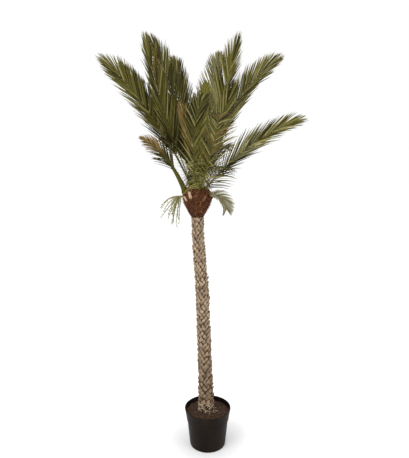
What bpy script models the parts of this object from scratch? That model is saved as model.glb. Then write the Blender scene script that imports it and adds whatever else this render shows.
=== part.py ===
"""A pygmy date palm in a round nursery pot, as named solids.

Metres, +Z up, with the origin at the middle of the pot's flat underside and the front of the plant towards -Y.
The pot and its compost carry a slim, leaning trunk with a lattice of leaf scars. The trunk ends in a cup of
brown fibre, and the fronds, the cut leaf stubs and the flower stalk all stand on that cup.

Angles are in degrees. A turn runs from +X towards +Y, a rise is above the level, and a roll turns a frond
about its own rib.
"""

import math
from collections import namedtuple

import bmesh
import bpy
from mathutils import Quaternion, Vector, noise
from mathutils.bvhtree import BVHTree

CLEARANCE = 0.0003  # between pieces that touch on the real plant

# The pot: an open tub with a deep collar and a thin lip.
POT_HEIGHT = 0.270
POT_SIDES = 48
POT_WALL = 0.003
POT_FOOT_RADIUS = 0.1235
POT_STEP_HEIGHT = 0.186  # where the collar stands out over the body
POT_BODY_RADIUS = 0.1425  # just under that step
POT_COLLAR_RADIUS = 0.1465  # just above it
POT_LIP_RADIUS = 0.160
POT_LIP_DEPTH = 0.007
POT_LIP_REACH = 0.0015  # how far the lip stands out from the collar

# The compost in it.
SOIL_HEIGHT = 0.248  # where the trunk stands on it
SOIL_FLAT_RADIUS = 0.066
SOIL_EDGE_DROP = 0.008
SOIL_ROUGHNESS = 0.005
SOIL_RINGS = 4  # between the flat middle and the wall

# The trunk.
TRUNK_TOP = 1.615
TRUNK_FOOT_X = -0.008
TRUNK_FOOT_RADIUS = 0.0505
TRUNK_RADIUS = 0.0465  # above the flare at the foot
TRUNK_TOP_RADIUS = 0.0345
TRUNK_FLARE_HEIGHT = 0.09
TRUNK_LEAN = 0.034  # metres to the left in each metre of height
TRUNK_BEND = 0.015  # further left over the bend
TRUNK_BEND_START, TRUNK_BEND_END = 1.06, 1.50
SCARS_ROUND = 9
SCAR_ROWS = 60
SCAR_RELIEF = 0.0045
SCAR_TWIST = 3.5  # of each row over the one under it

# The cup of fibre on the trunk: a turned shape, by radius and height over the trunk's top.
CUP_SIDES = 20
CUP_PROFILE = (
    (0.038, 0.000),
    (0.054, 0.036),
    (0.073, 0.072),
    (0.087, 0.104),
    (0.092, 0.130),
    (0.087, 0.155),
    (0.070, 0.180),
    (0.042, 0.199),
    (0.000, 0.207),
)
CUP_HEART = 0.105  # the point inside it that the roots of the fronds are set out from

# Where the fronds leave the cup, from a level frond to an upright one.
ROOT_RADIUS_LEVEL, ROOT_RADIUS_UPRIGHT = 0.088, 0.012
ROOT_HEIGHT_LEVEL, ROOT_HEIGHT_UPRIGHT = 0.140, 0.208

# The ribs of the fronds.
RIB_WIDTH, RIB_DEPTH = 0.0115, 0.0085
RIB_TIP_SHARE = 0.26  # of its width and depth
RIB_SPIKE = 0.045
BEND_POWER = 1.6  # how late a frond bends along its length

# The leaflets.
FULL_LENGTH = 0.92  # of a frond with all its leaflets
FULL_PAIRS = 17
LEAFLET_LENGTH = 0.245
LEAFLET_WIDTH = 0.023
LEAFLET_THICKNESS = 0.0024
WIDTH_SHARE = 0.9  # of the room between two leaflets, at most
LEAFLET_BELLY = 0.40  # where along it a leaflet is widest
LEAFLET_RAISE = 26  # towards the frond's upper face
LEAFLET_TILT = 28  # of its blade, as on a louvre
SPREAD_BASE, SPREAD_MIDDLE, SPREAD_TIP = 74, 26, 14  # between a leaflet and the rib
MIDDLE_SHARE = 0.32  # of the way along the rib
FULL_AT = 0.36  # of the way along the rib, where the leaflets are longest
SPARE = 0.0012  # kept free round each leaflet
ROOT_CLEAR = 0.25  # of the way to its widest place, where a leaflet is clear of its own rib
OTHER_RAISES = (0, 13, -13, 26, -26, 40, -40)
OTHER_LENGTHS = (1.0, 0.78, 0.56)

# Of each frond: where it points, how long it is, how far it sinks, sways and rolls on its way, the share of its rib
# that stays bare, and how widely its leaflets spread.
Frond = namedtuple("Frond", "name turn rise length droop sway roll bare sweep")
FRONDS = (
    Frond("frond_left_high", 178, 63.5, 0.87, 19, -8, -46, 0.27, 1.3),
    Frond("frond_left_back", 154, 61.5, 0.825, 10, 6, -45, 0.28, 1.0),
    Frond("frond_left_tall", 197, 67.0, 0.82, -11, -4, -62, 0.29, 1.0),
    Frond("frond_back_left_tall", 113, 71, 0.925, 24, -5, -15, 0.20, 1.0),
    Frond("frond_left_tall_back", 144, 76, 0.925, 16, -6, -30, 0.22, 1.1),
    Frond("frond_young", 274, 69, 0.635, 36, 5, 0, 0.08, 0.55),
    Frond("frond_back_right_tall", 68.5, 72, 0.975, 24, 7, 12, 0.10, 1.05),
    Frond("frond_right_tall", 336, 74.8, 0.79, 2, -6, -42, 0.12, 1.2),
    Frond("frond_right_blunt", 305, 66, 0.60, 14, 0, -32, 0.06, 1.0),
    Frond("frond_right_high", 6, 73, 0.885, 34, 16, 44, 0.34, 1.3),
    Frond("frond_right_low", 350, 47.8, 0.65, 25, 16, 72, 0.12, 0.8),
    Frond("frond_right_hanging", 332, -2, 0.178, 88, -8, 40, 0.04, 1.0),
    Frond("frond_front_right", 289, 44, 0.74, 28, -18, 0, 0.12, 1.15),
    Frond("frond_front_middle", 262, 55, 0.69, 31, 22, 0, 0.13, 1.05),
    Frond("frond_left_low", 189, 66, 0.41, 34, 4, -60, 0.38, 0.95),
    Frond("frond_front_short", 280, 80, 0.20, 8, 6, 0, 0.06, 1.0),
    Frond("frond_back_right_steep", 48, 68, 0.56, 28, 6, 20, 0.14, 1.0),
    Frond("frond_back_left_steep", 129, 65, 0.68, 28, -10, -30, 0.24, 1.0),
    Frond("frond_back_right", 66, 46, 0.65, 52, 8, 10, 0.06, 1.0),
    Frond("frond_back_left", 112, 48, 0.65, 50, -8, -10, 0.40, 1.0),
    Frond("frond_back_middle", 90, 56, 0.75, 48, 0, 0, 0.06, 1.0),
    Frond("frond_back_low", 92, 26, 0.48, 66, 10, 0, 0.08, 1.0),
    Frond("frond_heart", 238, 76, 0.42, 12, 6, 0, 0.10, 0.8),
    Frond("frond_right_base", 320, 66, 0.17, 8, 0, -52, 0.08, 1.0),
)

# What sets some fronds apart: the rise that places the root on the cup, the lengths of the lowest and last leaflets,
# one angle for them all, what each side keeps of the spread, and how long and how limp the leaflets are.
Habit = namedtuple(
    "Habit", "seat skirt tip comb sides reach limp", defaults=(None, 0.30, 0.74, None, (1.0, 1.0), 1.0, 0.16)
)
HABITS = {
    "frond_left_high": Habit(skirt=0.14, tip=0.78, sides=(0.72, 1.0)),
    "frond_left_tall": Habit(sides=(0.66, 1.0)),
    "frond_left_low": Habit(seat=24, skirt=0.40, sides=(1.8, 1.1), limp=0.3),
    "frond_right_hanging": Habit(seat=16, skirt=0.7, tip=0.5, comb=36, reach=0.64, limp=0.0),
    "frond_front_short": Habit(seat=34, skirt=1.0, tip=0.8, comb=92, reach=0.76, limp=0.7),
    "frond_right_base": Habit(seat=34, skirt=1.0, tip=0.8, comb=66, reach=1.12, limp=0.3),
    "frond_front_middle": Habit(skirt=0.62, limp=0.3),
    "frond_front_right": Habit(skirt=0.62, tip=0.42, sides=(2.2, 1.0), reach=0.9, limp=0.3),
    "frond_right_low": Habit(sides=(1.16, 0.78)),
    "frond_right_high": Habit(skirt=0.06, sides=(0.78, 0.72)),
    "frond_right_blunt": Habit(tip=0.62, sides=(0.7, 1.0)),
    "frond_right_tall": Habit(sides=(0.8, 1.0)),
    "frond_back_right_tall": Habit(tip=0.6, sides=(1.35, 0.9)),
    "frond_back_low": Habit(reach=0.7),
}
PLAIN_HABIT = Habit()

# The cut stubs of old leaves: turn and height on the cup, length and rise.
Stub = namedtuple("Stub", "name turn height length rise")
STUBS = (
    Stub("leaf_stub_front", 243, 0.136, 0.046, 62),
    Stub("leaf_stub_front_left", 218, 0.118, 0.030, 55),
    Stub("leaf_stub_front_right", 298, 0.118, 0.040, 52),
    Stub("leaf_stub_right", 10, 0.112, 0.042, 50),
    Stub("leaf_stub_back_right", 58, 0.120, 0.046, 55),
    Stub("leaf_stub_back", 104, 0.108, 0.040, 52),
    Stub("leaf_stub_back_left", 150, 0.120, 0.044, 55),
)
STUB_WIDTH, STUB_DEPTH = 0.021, 0.012
STUB_END_SHARE = 0.72

# The flower stalk, which arches out to the left and hangs in strings.
STALK_TURN, STALK_HEIGHT = 187, 0.128
STALK_RISE = 34
STALK_LENGTH = 0.074
STALK_DROOP = 88
STALK_RADIUS = 0.0052
STRINGS = 9
STRING_LENGTH = 0.225
STRING_RADIUS = 0.0030
STRING_FAN = 120  # between the outermost two
STRING_SINK = 0.004  # of each string's root into the stalk
STRING_STEP = 0.018  # along the stalk, between one string and the next
SLIVER = 0.0001  # edges under this are closed after the strings are fused


def finish(name, colour, roughness, metallic=0.0):
    """One plain material."""
    material = bpy.data.materials.new(name)
    material.use_nodes = True
    shader = material.node_tree.nodes["Principled BSDF"]
    shader.inputs["Base Color"].default_value = (*colour, 1.0)
    shader.inputs["Roughness"].default_value = roughness
    shader.inputs["Metallic"].default_value = metallic
    return material


def add_object(name, bm, material, smooth_under=None):
    """Put a closed mesh in the scene, with faces that meet under an angle shaded as one surface."""
    bmesh.ops.recalc_face_normals(bm, faces=bm.faces)
    if bm.calc_volume(signed=True) < 0:
        bmesh.ops.reverse_faces(bm, faces=bm.faces)
    mesh = bpy.data.meshes.new(name)
    bm.to_mesh(mesh)
    bm.free()
    mesh.materials.append(material)
    if smooth_under is not None:
        mesh.shade_smooth()
        mesh.set_sharp_from_angle(angle=math.radians(smooth_under))
    piece = bpy.data.objects.new(name, mesh)
    bpy.context.scene.collection.objects.link(piece)
    return piece


def turned(profile, sides):
    """A solid turned about the Z axis from (radius, height) points that start and end on it."""
    bm = bmesh.new()
    points = [bm.verts.new((radius, 0, height)) for radius, height in profile]
    edges = [bm.edges.new(pair) for pair in zip(points, points[1:])]
    bmesh.ops.spin(
        bm, geom=points + edges, axis=(0, 0, 1), cent=(0, 0, 0), angle=math.tau, steps=sides, use_merge=True
    )
    bmesh.ops.remove_doubles(bm, verts=bm.verts, dist=1e-5)
    return bm


def grown(bm, face, ring):
    """Extrude a face, and set the corners of the new one on a ring of points."""
    face = bmesh.ops.extrude_discrete_faces(bm, faces=[face])["faces"][0]
    for vert, point in zip(face.verts, ring):
        vert.co = point
    return face


def swept(bm, rings):
    """A closed solid through rings of points. It gives the end face, and the side faces of each stretch."""
    face = bm.faces.new([bm.verts.new(point) for point in rings[0]])
    face.copy(verts=False, edges=False)  # stays behind as the foot
    stretches = []
    for ring in rings[1:]:
        face = grown(bm, face, ring)
        stretches.append([next(side for side in loop.edge.link_faces if side != face) for loop in face.loops])
    return face, stretches


def ease(value):
    """A smooth step from 0 to 1."""
    value = min(1.0, max(0.0, value))
    return value * value * (3 - 2 * value)


def mix(start, end, share):
    return start + (end - start) * share


def polar(turn, rise):
    """The unit vector with a turn and a rise in degrees."""
    turn, rise = math.radians(turn), math.radians(rise)
    return Vector((math.cos(rise) * math.cos(turn), math.cos(rise) * math.sin(turn), math.sin(rise)))


# Pot and compost


POT_COLLAR_TOP = POT_LIP_RADIUS - POT_LIP_REACH
POT_INSIDE = (  # the inner wall, by radius and height
    (POT_FOOT_RADIUS - POT_WALL, POT_WALL),
    (POT_BODY_RADIUS - POT_WALL, POT_STEP_HEIGHT),
    (POT_COLLAR_RADIUS - POT_WALL, POT_STEP_HEIGHT + POT_WALL),
    (POT_COLLAR_TOP - POT_WALL, POT_HEIGHT),
)


def make_pot(material):
    outside = (
        (0, 0),
        (POT_FOOT_RADIUS - POT_WALL, 0),
        (POT_FOOT_RADIUS, POT_WALL),
        (POT_BODY_RADIUS, POT_STEP_HEIGHT - POT_WALL),
        (POT_COLLAR_RADIUS, POT_STEP_HEIGHT),
        (POT_COLLAR_TOP, POT_HEIGHT - POT_LIP_DEPTH),
        (POT_LIP_RADIUS, POT_HEIGHT - POT_LIP_DEPTH),
        (POT_LIP_RADIUS, POT_HEIGHT),
    )
    profile = outside + POT_INSIDE[::-1] + ((0, POT_WALL),)
    return add_object("pot", turned(profile, POT_SIDES), material, smooth_under=30)


def make_soil(material):
    """Compost that fills the pot, flat where the trunk stands and uneven round it."""
    edge_height = SOIL_HEIGHT - SOIL_EDGE_DROP
    inside = [(radius - CLEARANCE, height) for radius, height in POT_INSIDE]
    inside[0] = (inside[0][0], POT_WALL + CLEARANCE)
    collar, lip = inside[-2:]
    inside[-1] = (mix(collar[0], lip[0], (edge_height - collar[1]) / (lip[1] - collar[1])), edge_height)
    top = []
    for ring in range(SOIL_RINGS):
        share = ring / SOIL_RINGS
        radius = mix(SOIL_FLAT_RADIUS, inside[-1][0], share)
        top.append((radius, mix(SOIL_HEIGHT, edge_height, share)))
    profile = [(0, POT_WALL + CLEARANCE)] + inside + top[::-1] + [(0, SOIL_HEIGHT)]
    bm = turned(profile, POT_SIDES)
    for vert in bm.verts:
        radius = vert.co.xy.length
        loose = SOIL_FLAT_RADIUS + CLEARANCE < radius < inside[-1][0] - CLEARANCE
        if loose and vert.co.z > edge_height - CLEARANCE:
            vert.co.z += SOIL_ROUGHNESS * noise.noise(vert.co * 22)
    return add_object("soil", bm, material, smooth_under=60)


# Trunk and cup


def trunk_x(height):
    bend = ease((height - TRUNK_BEND_START) / (TRUNK_BEND_END - TRUNK_BEND_START))
    return TRUNK_FOOT_X - TRUNK_LEAN * (height - SOIL_HEIGHT) - TRUNK_BEND * bend


def trunk_radius(height):
    share = (height - SOIL_HEIGHT) / (TRUNK_TOP - SOIL_HEIGHT)
    flare = 1 - ease((height - SOIL_HEIGHT) / TRUNK_FLARE_HEIGHT)
    return mix(TRUNK_RADIUS, TRUNK_TOP_RADIUS, share) + (TRUNK_FOOT_RADIUS - TRUNK_RADIUS) * flare


def make_trunk(material):
    """A leaning stem whose corners stand out in turn, so that leaf scars wind round it in a lattice."""
    foot = SOIL_HEIGHT + CLEARANCE
    corners = 2 * SCARS_ROUND
    rings = []
    for row in range(SCAR_ROWS + 1):
        height = mix(foot, TRUNK_TOP, row / SCAR_ROWS)
        middle = Vector((trunk_x(height), 0, height))
        at_end = row in (0, SCAR_ROWS)
        ring = []
        for corner in range(corners):
            relief = SCAR_RELIEF / 2 if (row + corner) % 2 else -SCAR_RELIEF / 2
            radius = trunk_radius(height) + (0 if at_end else relief)
            ring.append(middle + radius * polar(360 * corner / corners + SCAR_TWIST * row, 0))
        rings.append(ring)
    bm = bmesh.new()
    swept(bm, rings)
    return add_object("trunk", bm, material)


def make_cup(material):
    base = TRUNK_TOP + CLEARANCE
    profile = [(0, 0)] + list(CUP_PROFILE)
    bm = turned(profile, CUP_SIDES)
    bmesh.ops.translate(bm, verts=bm.verts, vec=(trunk_x(TRUNK_TOP), 0, base))
    return add_object("fibre_cup", bm, material, smooth_under=50)


def solid_tree(piece):
    """A search tree over an object's faces."""
    mesh = piece.data
    return BVHTree.FromPolygons([vert.co for vert in mesh.vertices], [face.vertices for face in mesh.polygons])


def seat_on_cup(cup_tree, target):
    """Where a line from the cup's heart to a point meets the cup, lifted clear, and the normal there."""
    heart = Vector((trunk_x(TRUNK_TOP), 0, TRUNK_TOP + CUP_HEART))
    target = target + heart.xy.to_3d()
    place, normal, _, _ = cup_tree.ray_cast(heart, (target - heart).normalized())
    return place + normal * CLEARANCE, normal


def on_plane(point, along, place, normal):
    """A point moved along a direction on to a plane."""
    return point - along * ((point - place).dot(normal) / along.dot(normal))


# Fronds

Place = namedtuple("Place", "point along side up share")


def frond_places(frond, cup_tree, count):
    """Places along a frond's rib: the point, the way along it, its right-hand side and its upper face."""
    seat = HABITS.get(frond.name, PLAIN_HABIT).seat
    upright = min(1.0, max(0.0, (frond.rise if seat is None else seat) / 88))
    root = mix(ROOT_RADIUS_LEVEL, ROOT_RADIUS_UPRIGHT, upright) * polar(frond.turn, 0)
    root.z = TRUNK_TOP + mix(ROOT_HEIGHT_LEVEL, ROOT_HEIGHT_UPRIGHT, upright)
    point, _ = seat_on_cup(cup_tree, root)
    step = frond.length / (count - 1)
    places = []
    for number in range(count):
        share = number / (count - 1)
        turn = frond.turn + frond.sway * share
        rise = frond.rise - frond.droop * share**BEND_POWER
        along = polar(turn, rise)
        up = Quaternion(along, math.radians(frond.roll)) @ polar(turn, rise + 90)
        places.append(Place(point.copy(), along, along.cross(up), up, share))
        middle_share = share + 0.5 / (count - 1)
        middle_rise = frond.rise - frond.droop * middle_share**BEND_POWER
        point += step * polar(frond.turn + frond.sway * middle_share, middle_rise)
    return places


def rib_ring(place):
    """Three corners round the rib: two under it, and the ridge that the leaflets flank."""
    size = mix(1.0, RIB_TIP_SHARE, place.share**0.8)
    half = place.side * (RIB_WIDTH * size / 2)
    depth = place.up * (RIB_DEPTH * size / 2)
    return [place.point - half - depth, place.point + half - depth, place.point + depth]


def leaflet_spread(share):
    if share < MIDDLE_SHARE:
        return mix(SPREAD_BASE, SPREAD_MIDDLE, ease(share / MIDDLE_SHARE))
    return mix(SPREAD_MIDDLE, SPREAD_TIP, (share - MIDDLE_SHARE) / (1 - MIDDLE_SHARE))


def leaflet_length(frond, habit, share):
    if share < FULL_AT:
        swell = mix(habit.skirt, 1.0, ease(share / FULL_AT))
    else:
        swell = mix(1.0, habit.tip, (share - FULL_AT) / (1 - FULL_AT))
    return LEAFLET_LENGTH * swell * habit.reach * mix(0.60, 1.0, min(1.0, frond.length / FULL_LENGTH))


Seat = namedtuple("Seat", "place hand spread base length width limp")
Leaflet = namedtuple("Leaflet", "base belly tip")


def leaflet_seat(frond, places, number, share):
    """Where a leaflet leaves a rib, on its left (hand -1) and its right (hand 1) in turn, and its full size."""
    hand = 1 if number % 2 else -1
    before, after = places[number], places[number + 1]
    low = 1 if hand > 0 else 0
    base = [rib_ring(place)[corner] for place, corner in ((before, low), (after, low), (after, 2), (before, 2))]
    middle = before.point.lerp(after.point, 0.5)
    pitch = 2 * (after.point - before.point).length
    habit = HABITS.get(frond.name, PLAIN_HABIT)
    spread = math.radians((habit.comb or leaflet_spread(share)) * frond.sweep * habit.sides[hand > 0])
    width = min(LEAFLET_WIDTH, WIDTH_SHARE * pitch * math.sin(spread))
    length = leaflet_length(frond, habit, share)
    return Seat(before._replace(point=middle), hand, spread, base, length, width, habit.limp)


def plan_leaflet(seat, more_raise, length_share, spare=0.0):
    """A leaflet from its seat over its widest place, its belly, to its tip."""
    place = seat.place
    rise = math.radians(LEAFLET_RAISE + more_raise)
    outward = seat.hand * place.side * math.cos(rise) + place.up * math.sin(rise)
    along = (place.along * math.cos(seat.spread) + outward * math.sin(seat.spread)).normalized()
    across = (place.along - along * place.along.dot(along)).normalized()
    across = Quaternion(along, seat.hand * math.radians(LEAFLET_TILT)) @ across
    over = along.cross(across) * seat.hand
    length = seat.length * length_share
    middle = place.point + along * (length * LEAFLET_BELLY)
    sag = Vector((0, 0, seat.limp * length * (1 - abs(along.z))))
    half, thick = across * (seat.width / 2 + spare), over * (LEAFLET_THICKNESS / 2 + spare)
    belly = [middle + half * fore + thick * top for fore, top in ((-1, -1), (1, -1), (1, 1), (-1, 1))]
    return Leaflet(seat.base, belly, place.point + along * (length + spare) - sag)


class Space:
    """The room that is already taken, as search trees with a ball round each."""

    def __init__(self):
        self.taken = []

    def add(self, points, faces):
        middle = sum(points, Vector()) / len(points)
        reach = max((point - middle).length for point in points)
        self.taken.append((middle, reach, BVHTree.FromPolygons(points, faces)))

    def add_mesh(self, bm):
        bm.verts.index_update()
        faces = [tuple(vert.index for vert in face.verts) for face in bm.faces]
        self.add([vert.co.copy() for vert in bm.verts], faces)

    def is_free(self, points, faces):
        middle = sum(points, Vector()) / len(points)
        reach = max((point - middle).length for point in points)
        tree = BVHTree.FromPolygons(points, faces)
        near = [other for spot, far, other in self.taken if (spot - middle).length < reach + far]
        return not any(tree.overlap(other) for other in near)


LEAFLET_FACES = ((0, 1, 2, 3), (0, 1, 5, 4), (1, 2, 6, 5), (2, 3, 7, 6), (3, 0, 4, 7))
LEAFLET_FACES += ((4, 5, 8), (5, 6, 8), (6, 7, 8), (7, 4, 8))


def leaflet_hull(leaflet, start):
    """The points of a leaflet from a share of the way to its belly, and on to its tip."""
    narrow = [mix(low, high, start) for low, high in zip(leaflet.base, leaflet.belly)]
    return narrow + leaflet.belly + [leaflet.tip]


def add_leaflet(bm, face, leaflet):
    """Draw a leaflet out of one side face of a rib."""
    corners = range(len(leaflet.base))
    order = [min(corners, key=lambda corner: (leaflet.base[corner] - vert.co).length) for vert in face.verts]
    belly = [leaflet.belly[corner] for corner in order]
    face = grown(bm, face, belly)
    face = grown(bm, face, belly)
    bmesh.ops.pointmerge(bm, verts=face.verts, merge_co=leaflet.tip)


def frond_rings(frond, cup_tree):
    """The places and rings of a frond: bare at first, then two stretches for each pair of leaflets."""
    pairs = max(7, round(FULL_PAIRS * (frond.length / FULL_LENGTH) ** 0.75))
    stretch = (1 - frond.bare) / (2 * pairs)
    bare = max(2, round(frond.bare / stretch))
    places = frond_places(frond, cup_tree, bare + 2 * pairs + 1)
    rings = [rib_ring(place) for place in places]
    point, normal = seat_on_cup(cup_tree, places[0].point - Vector((trunk_x(TRUNK_TOP), 0, 0)))
    rings[0] = [on_plane(corner, places[0].along, point, normal) for corner in rings[0]]
    return places, rings, bare


def make_fronds(material, cup, blockers):
    """All the fronds. Their ribs come first, so that each leaflet can keep clear of every rib."""
    cup_tree = solid_tree(cup)
    ribs = {}
    for frond in FRONDS:
        bm = bmesh.new()
        places, rings, bare = frond_rings(frond, cup_tree)
        end = places[-1]
        face, stretches = swept(bm, rings)
        face = grown(bm, face, rings[-1])
        bmesh.ops.pointmerge(bm, verts=face.verts, merge_co=end.point + end.along * RIB_SPIKE)
        ribs[frond.name] = (bm, places, stretches, bare)
    for frond in FRONDS:
        space = Space()
        for blocker in blockers:
            bm = bmesh.new()
            bm.from_mesh(blocker.data)
            space.add_mesh(bm)
            bm.free()
        for name, (bm, _, _, _) in ribs.items():
            if name != frond.name:
                space.add_mesh(bm)
        add_leaflets(frond, *ribs[frond.name], space)
    return [add_object(frond.name, ribs[frond.name][0], material) for frond in FRONDS]


def add_leaflets(frond, bm, places, stretches, bare, space):
    """Leaflets along both sides of a rib, each where it is free, and none where nothing fits."""
    own = Space()
    count = len(stretches)
    for number in range(bare, count):
        seat = leaflet_seat(frond, places, number, number / count)
        leaflet = fitting_leaflet(seat, space, own)
        if leaflet is not None:
            side = 1 if seat.hand > 0 else 2
            add_leaflet(bm, stretches[number][side], leaflet)
            own.add(leaflet_hull(leaflet, ROOT_CLEAR), LEAFLET_FACES)


def fitting_leaflet(seat, space, own):
    """The longest leaflet that is clear of the rest of the plant and of its own frond."""
    for length_share in OTHER_LENGTHS:
        for more_raise in OTHER_RAISES:
            trial = plan_leaflet(seat, more_raise, length_share, SPARE)
            if not space.is_free(leaflet_hull(trial, 0), LEAFLET_FACES):
                continue
            if own.is_free(leaflet_hull(trial, ROOT_CLEAR), LEAFLET_FACES):
                return plan_leaflet(seat, more_raise, length_share)
    return None


# Stubs and flower stalk


def box_ring(place, along, side, width, depth):
    """Four corners round a point."""
    up = side.cross(along)
    return [
        place + side * (width / 2 * across) + up * (depth / 2 * over)
        for across, over in ((-1, -1), (1, -1), (1, 1), (-1, 1))
    ]


def make_stub(stub, cup_tree, material):
    """A flat leaf stalk, cut off short."""
    target = 0.1 * polar(stub.turn, 0) + Vector((0, 0, TRUNK_TOP + stub.height))
    place, normal = seat_on_cup(cup_tree, target)
    along = polar(stub.turn, stub.rise)
    side = polar(stub.turn + 90, 0)
    foot = box_ring(place, along, side, STUB_WIDTH, STUB_DEPTH)
    foot = [on_plane(corner, along, place, normal) for corner in foot]
    end_width, end_depth = STUB_WIDTH * STUB_END_SHARE, STUB_DEPTH * STUB_END_SHARE
    end = box_ring(place + along * stub.length, along, side, end_width, end_depth)
    bm = bmesh.new()
    swept(bm, [foot, end])
    return add_object(stub.name, bm, material)


def tapered_run(points, radius, end_radius, sides, foot_plane=None):
    """A thin tapering limb through points."""
    rings = []
    for number, point in enumerate(points):
        ahead = points[min(number + 1, len(points) - 1)]
        behind = points[max(number - 1, 0)]
        along = (ahead - behind).normalized()
        turn = Vector((0, 0, 1)).rotation_difference(along)
        size = mix(radius, end_radius, number / (len(points) - 1))
        ring = [point + turn @ (size * polar(360 * corner / sides, 0)) for corner in range(sides)]
        if foot_plane and number == 0:
            ring = [on_plane(corner, along, *foot_plane) for corner in ring]
        rings.append(ring)
    bm = bmesh.new()
    swept(bm, rings)
    return bm


def arching_points(start, turn, rise, droop, length, count):
    """Points along a limb that sets off at a rise and sinks by a droop on its way."""
    points = [start]
    for number in range(count - 1):
        share = (number + 0.5) / (count - 1)
        points.append(points[-1] + polar(turn, rise - droop * share) * (length / (count - 1)))
    return points


def make_flower_stalk(cup_tree, material):
    """One arching stalk with a fan of hanging strings, fused to it."""
    target = 0.1 * polar(STALK_TURN, 0) + Vector((0, 0, TRUNK_TOP + STALK_HEIGHT))
    place, normal = seat_on_cup(cup_tree, target)
    stalk_points = arching_points(place, STALK_TURN, STALK_RISE, STALK_DROOP, STALK_LENGTH, 6)
    stalk = add_object(
        "flower_stalk",
        tapered_run(stalk_points, STALK_RADIUS, STALK_RADIUS * 0.8, 6, foot_plane=(place, normal)),
        material,
    )
    strings = bpy.data.collections.new("flower strings")
    bpy.context.scene.collection.children.link(strings)
    heading = (stalk_points[-1] - stalk_points[-2]).normalized()
    for number in range(STRINGS):
        share = number / (STRINGS - 1)
        turn = STALK_TURN + STRING_FAN * (share - 0.5)
        root = stalk_points[-1] - heading * (STRING_SINK + STRING_STEP * (number % 3))
        length = STRING_LENGTH * (0.86 + 0.14 * math.cos(5 * number))
        rise = -8 - 14 * (number % 2)
        points = arching_points(root, turn, rise, 76 + 6 * (number % 3), length, 6)
        string = add_object(
            f"string_{number}", tapered_run(points, STRING_RADIUS, STRING_RADIUS * 0.55, 5), material
        )
        bpy.context.scene.collection.objects.unlink(string)
        strings.objects.link(string)
    join = stalk.modifiers.new("strings", "BOOLEAN")
    join.use_self = True  # the strings also cross one another at their roots
    join.operation = "UNION"
    join.operand_type = "COLLECTION"
    join.collection = strings
    fused = bpy.data.meshes.new_from_object(stalk.evaluated_get(bpy.context.evaluated_depsgraph_get()))
    stalk.modifiers.clear()
    stalk.data = fused
    bm = bmesh.new()
    bm.from_mesh(fused)
    bmesh.ops.remove_doubles(bm, verts=bm.verts, dist=SLIVER)
    bmesh.ops.dissolve_degenerate(bm, edges=bm.edges, dist=SLIVER)
    bm.to_mesh(fused)
    bm.free()
    for string in list(strings.objects):
        bpy.data.objects.remove(string)
    bpy.data.collections.remove(strings)
    return stalk


def main():
    for item in list(bpy.data.objects):
        bpy.data.objects.remove(item)
    plastic = finish("black plastic", (0.022, 0.020, 0.019), 0.42)
    compost = finish("compost", (0.085, 0.050, 0.032), 0.95)
    bark = finish("pale bark", (0.44, 0.33, 0.22), 0.85)
    fibre = finish("brown fibre", (0.20, 0.095, 0.048), 0.92)
    cut = finish("cut leaf stalk", (0.52, 0.36, 0.25), 0.75)
    leaf = finish("green leaf", (0.085, 0.125, 0.030), 0.48)
    flower = finish("yellow-green flower", (0.42, 0.43, 0.12), 0.62)

    make_pot(plastic)
    make_soil(compost)
    make_trunk(bark)
    cup = make_cup(fibre)
    cup_tree = solid_tree(cup)
    stubs = [make_stub(stub, cup_tree, cut) for stub in STUBS]
    stalk = make_flower_stalk(cup_tree, flower)
    make_fronds(leaf, cup, [cup, stalk] + stubs)


main()
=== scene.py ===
"""A potted pygmy date palm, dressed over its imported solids.

Metres, +Z up, with the origin at the middle of the pot's flat underside and the front of the plant towards -Y.
Angles are in degrees. A turn runs from +X towards +Y, a rise is above the level, and a roll turns a frond
about its own rib.
"""

import math
import random
from collections import namedtuple

import bmesh
import bpy
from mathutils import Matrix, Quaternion, Vector, noise
from mathutils.bvhtree import BVHTree


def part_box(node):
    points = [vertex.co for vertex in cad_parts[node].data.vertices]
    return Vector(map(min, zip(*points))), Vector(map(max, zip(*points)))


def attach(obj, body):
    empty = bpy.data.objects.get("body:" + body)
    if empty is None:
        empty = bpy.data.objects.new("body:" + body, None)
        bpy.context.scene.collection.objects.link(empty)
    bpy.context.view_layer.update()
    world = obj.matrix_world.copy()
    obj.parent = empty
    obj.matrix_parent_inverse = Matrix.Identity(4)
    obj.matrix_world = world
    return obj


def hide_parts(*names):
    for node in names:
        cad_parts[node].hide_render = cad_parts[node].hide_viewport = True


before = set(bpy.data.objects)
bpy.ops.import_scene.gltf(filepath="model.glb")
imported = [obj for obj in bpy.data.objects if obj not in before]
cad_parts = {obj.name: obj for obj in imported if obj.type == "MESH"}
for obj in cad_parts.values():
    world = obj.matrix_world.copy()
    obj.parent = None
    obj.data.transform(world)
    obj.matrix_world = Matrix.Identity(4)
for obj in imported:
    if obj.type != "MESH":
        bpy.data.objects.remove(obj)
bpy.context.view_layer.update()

bl_info = {
    "name": "Potted pygmy date palm",
    "version": (1, 0, 0),
    "blender": (4, 5, 0),
    "location": "3D View > Sidebar > Palm",
    "description": "Dresses the solids of a potted palm with leaflets, bark, fibre and compost",
    "category": "Add Mesh",
}

_, POT_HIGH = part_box("pot")
TRUNK_LOW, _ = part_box("trunk")


# Settings


def a_colour(name, description, default):
    return bpy.props.FloatVectorProperty(
        name=name, description=description, default=default, subtype="COLOR", size=3, min=0, max=1
    )


def a_length(name, description, default, least=0.001):
    return bpy.props.FloatProperty(name=name, description=description, default=default, min=least, unit="LENGTH")


def a_count(name, description, default, least=0):
    return bpy.props.IntProperty(name=name, description=description, default=default, min=least)


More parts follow.
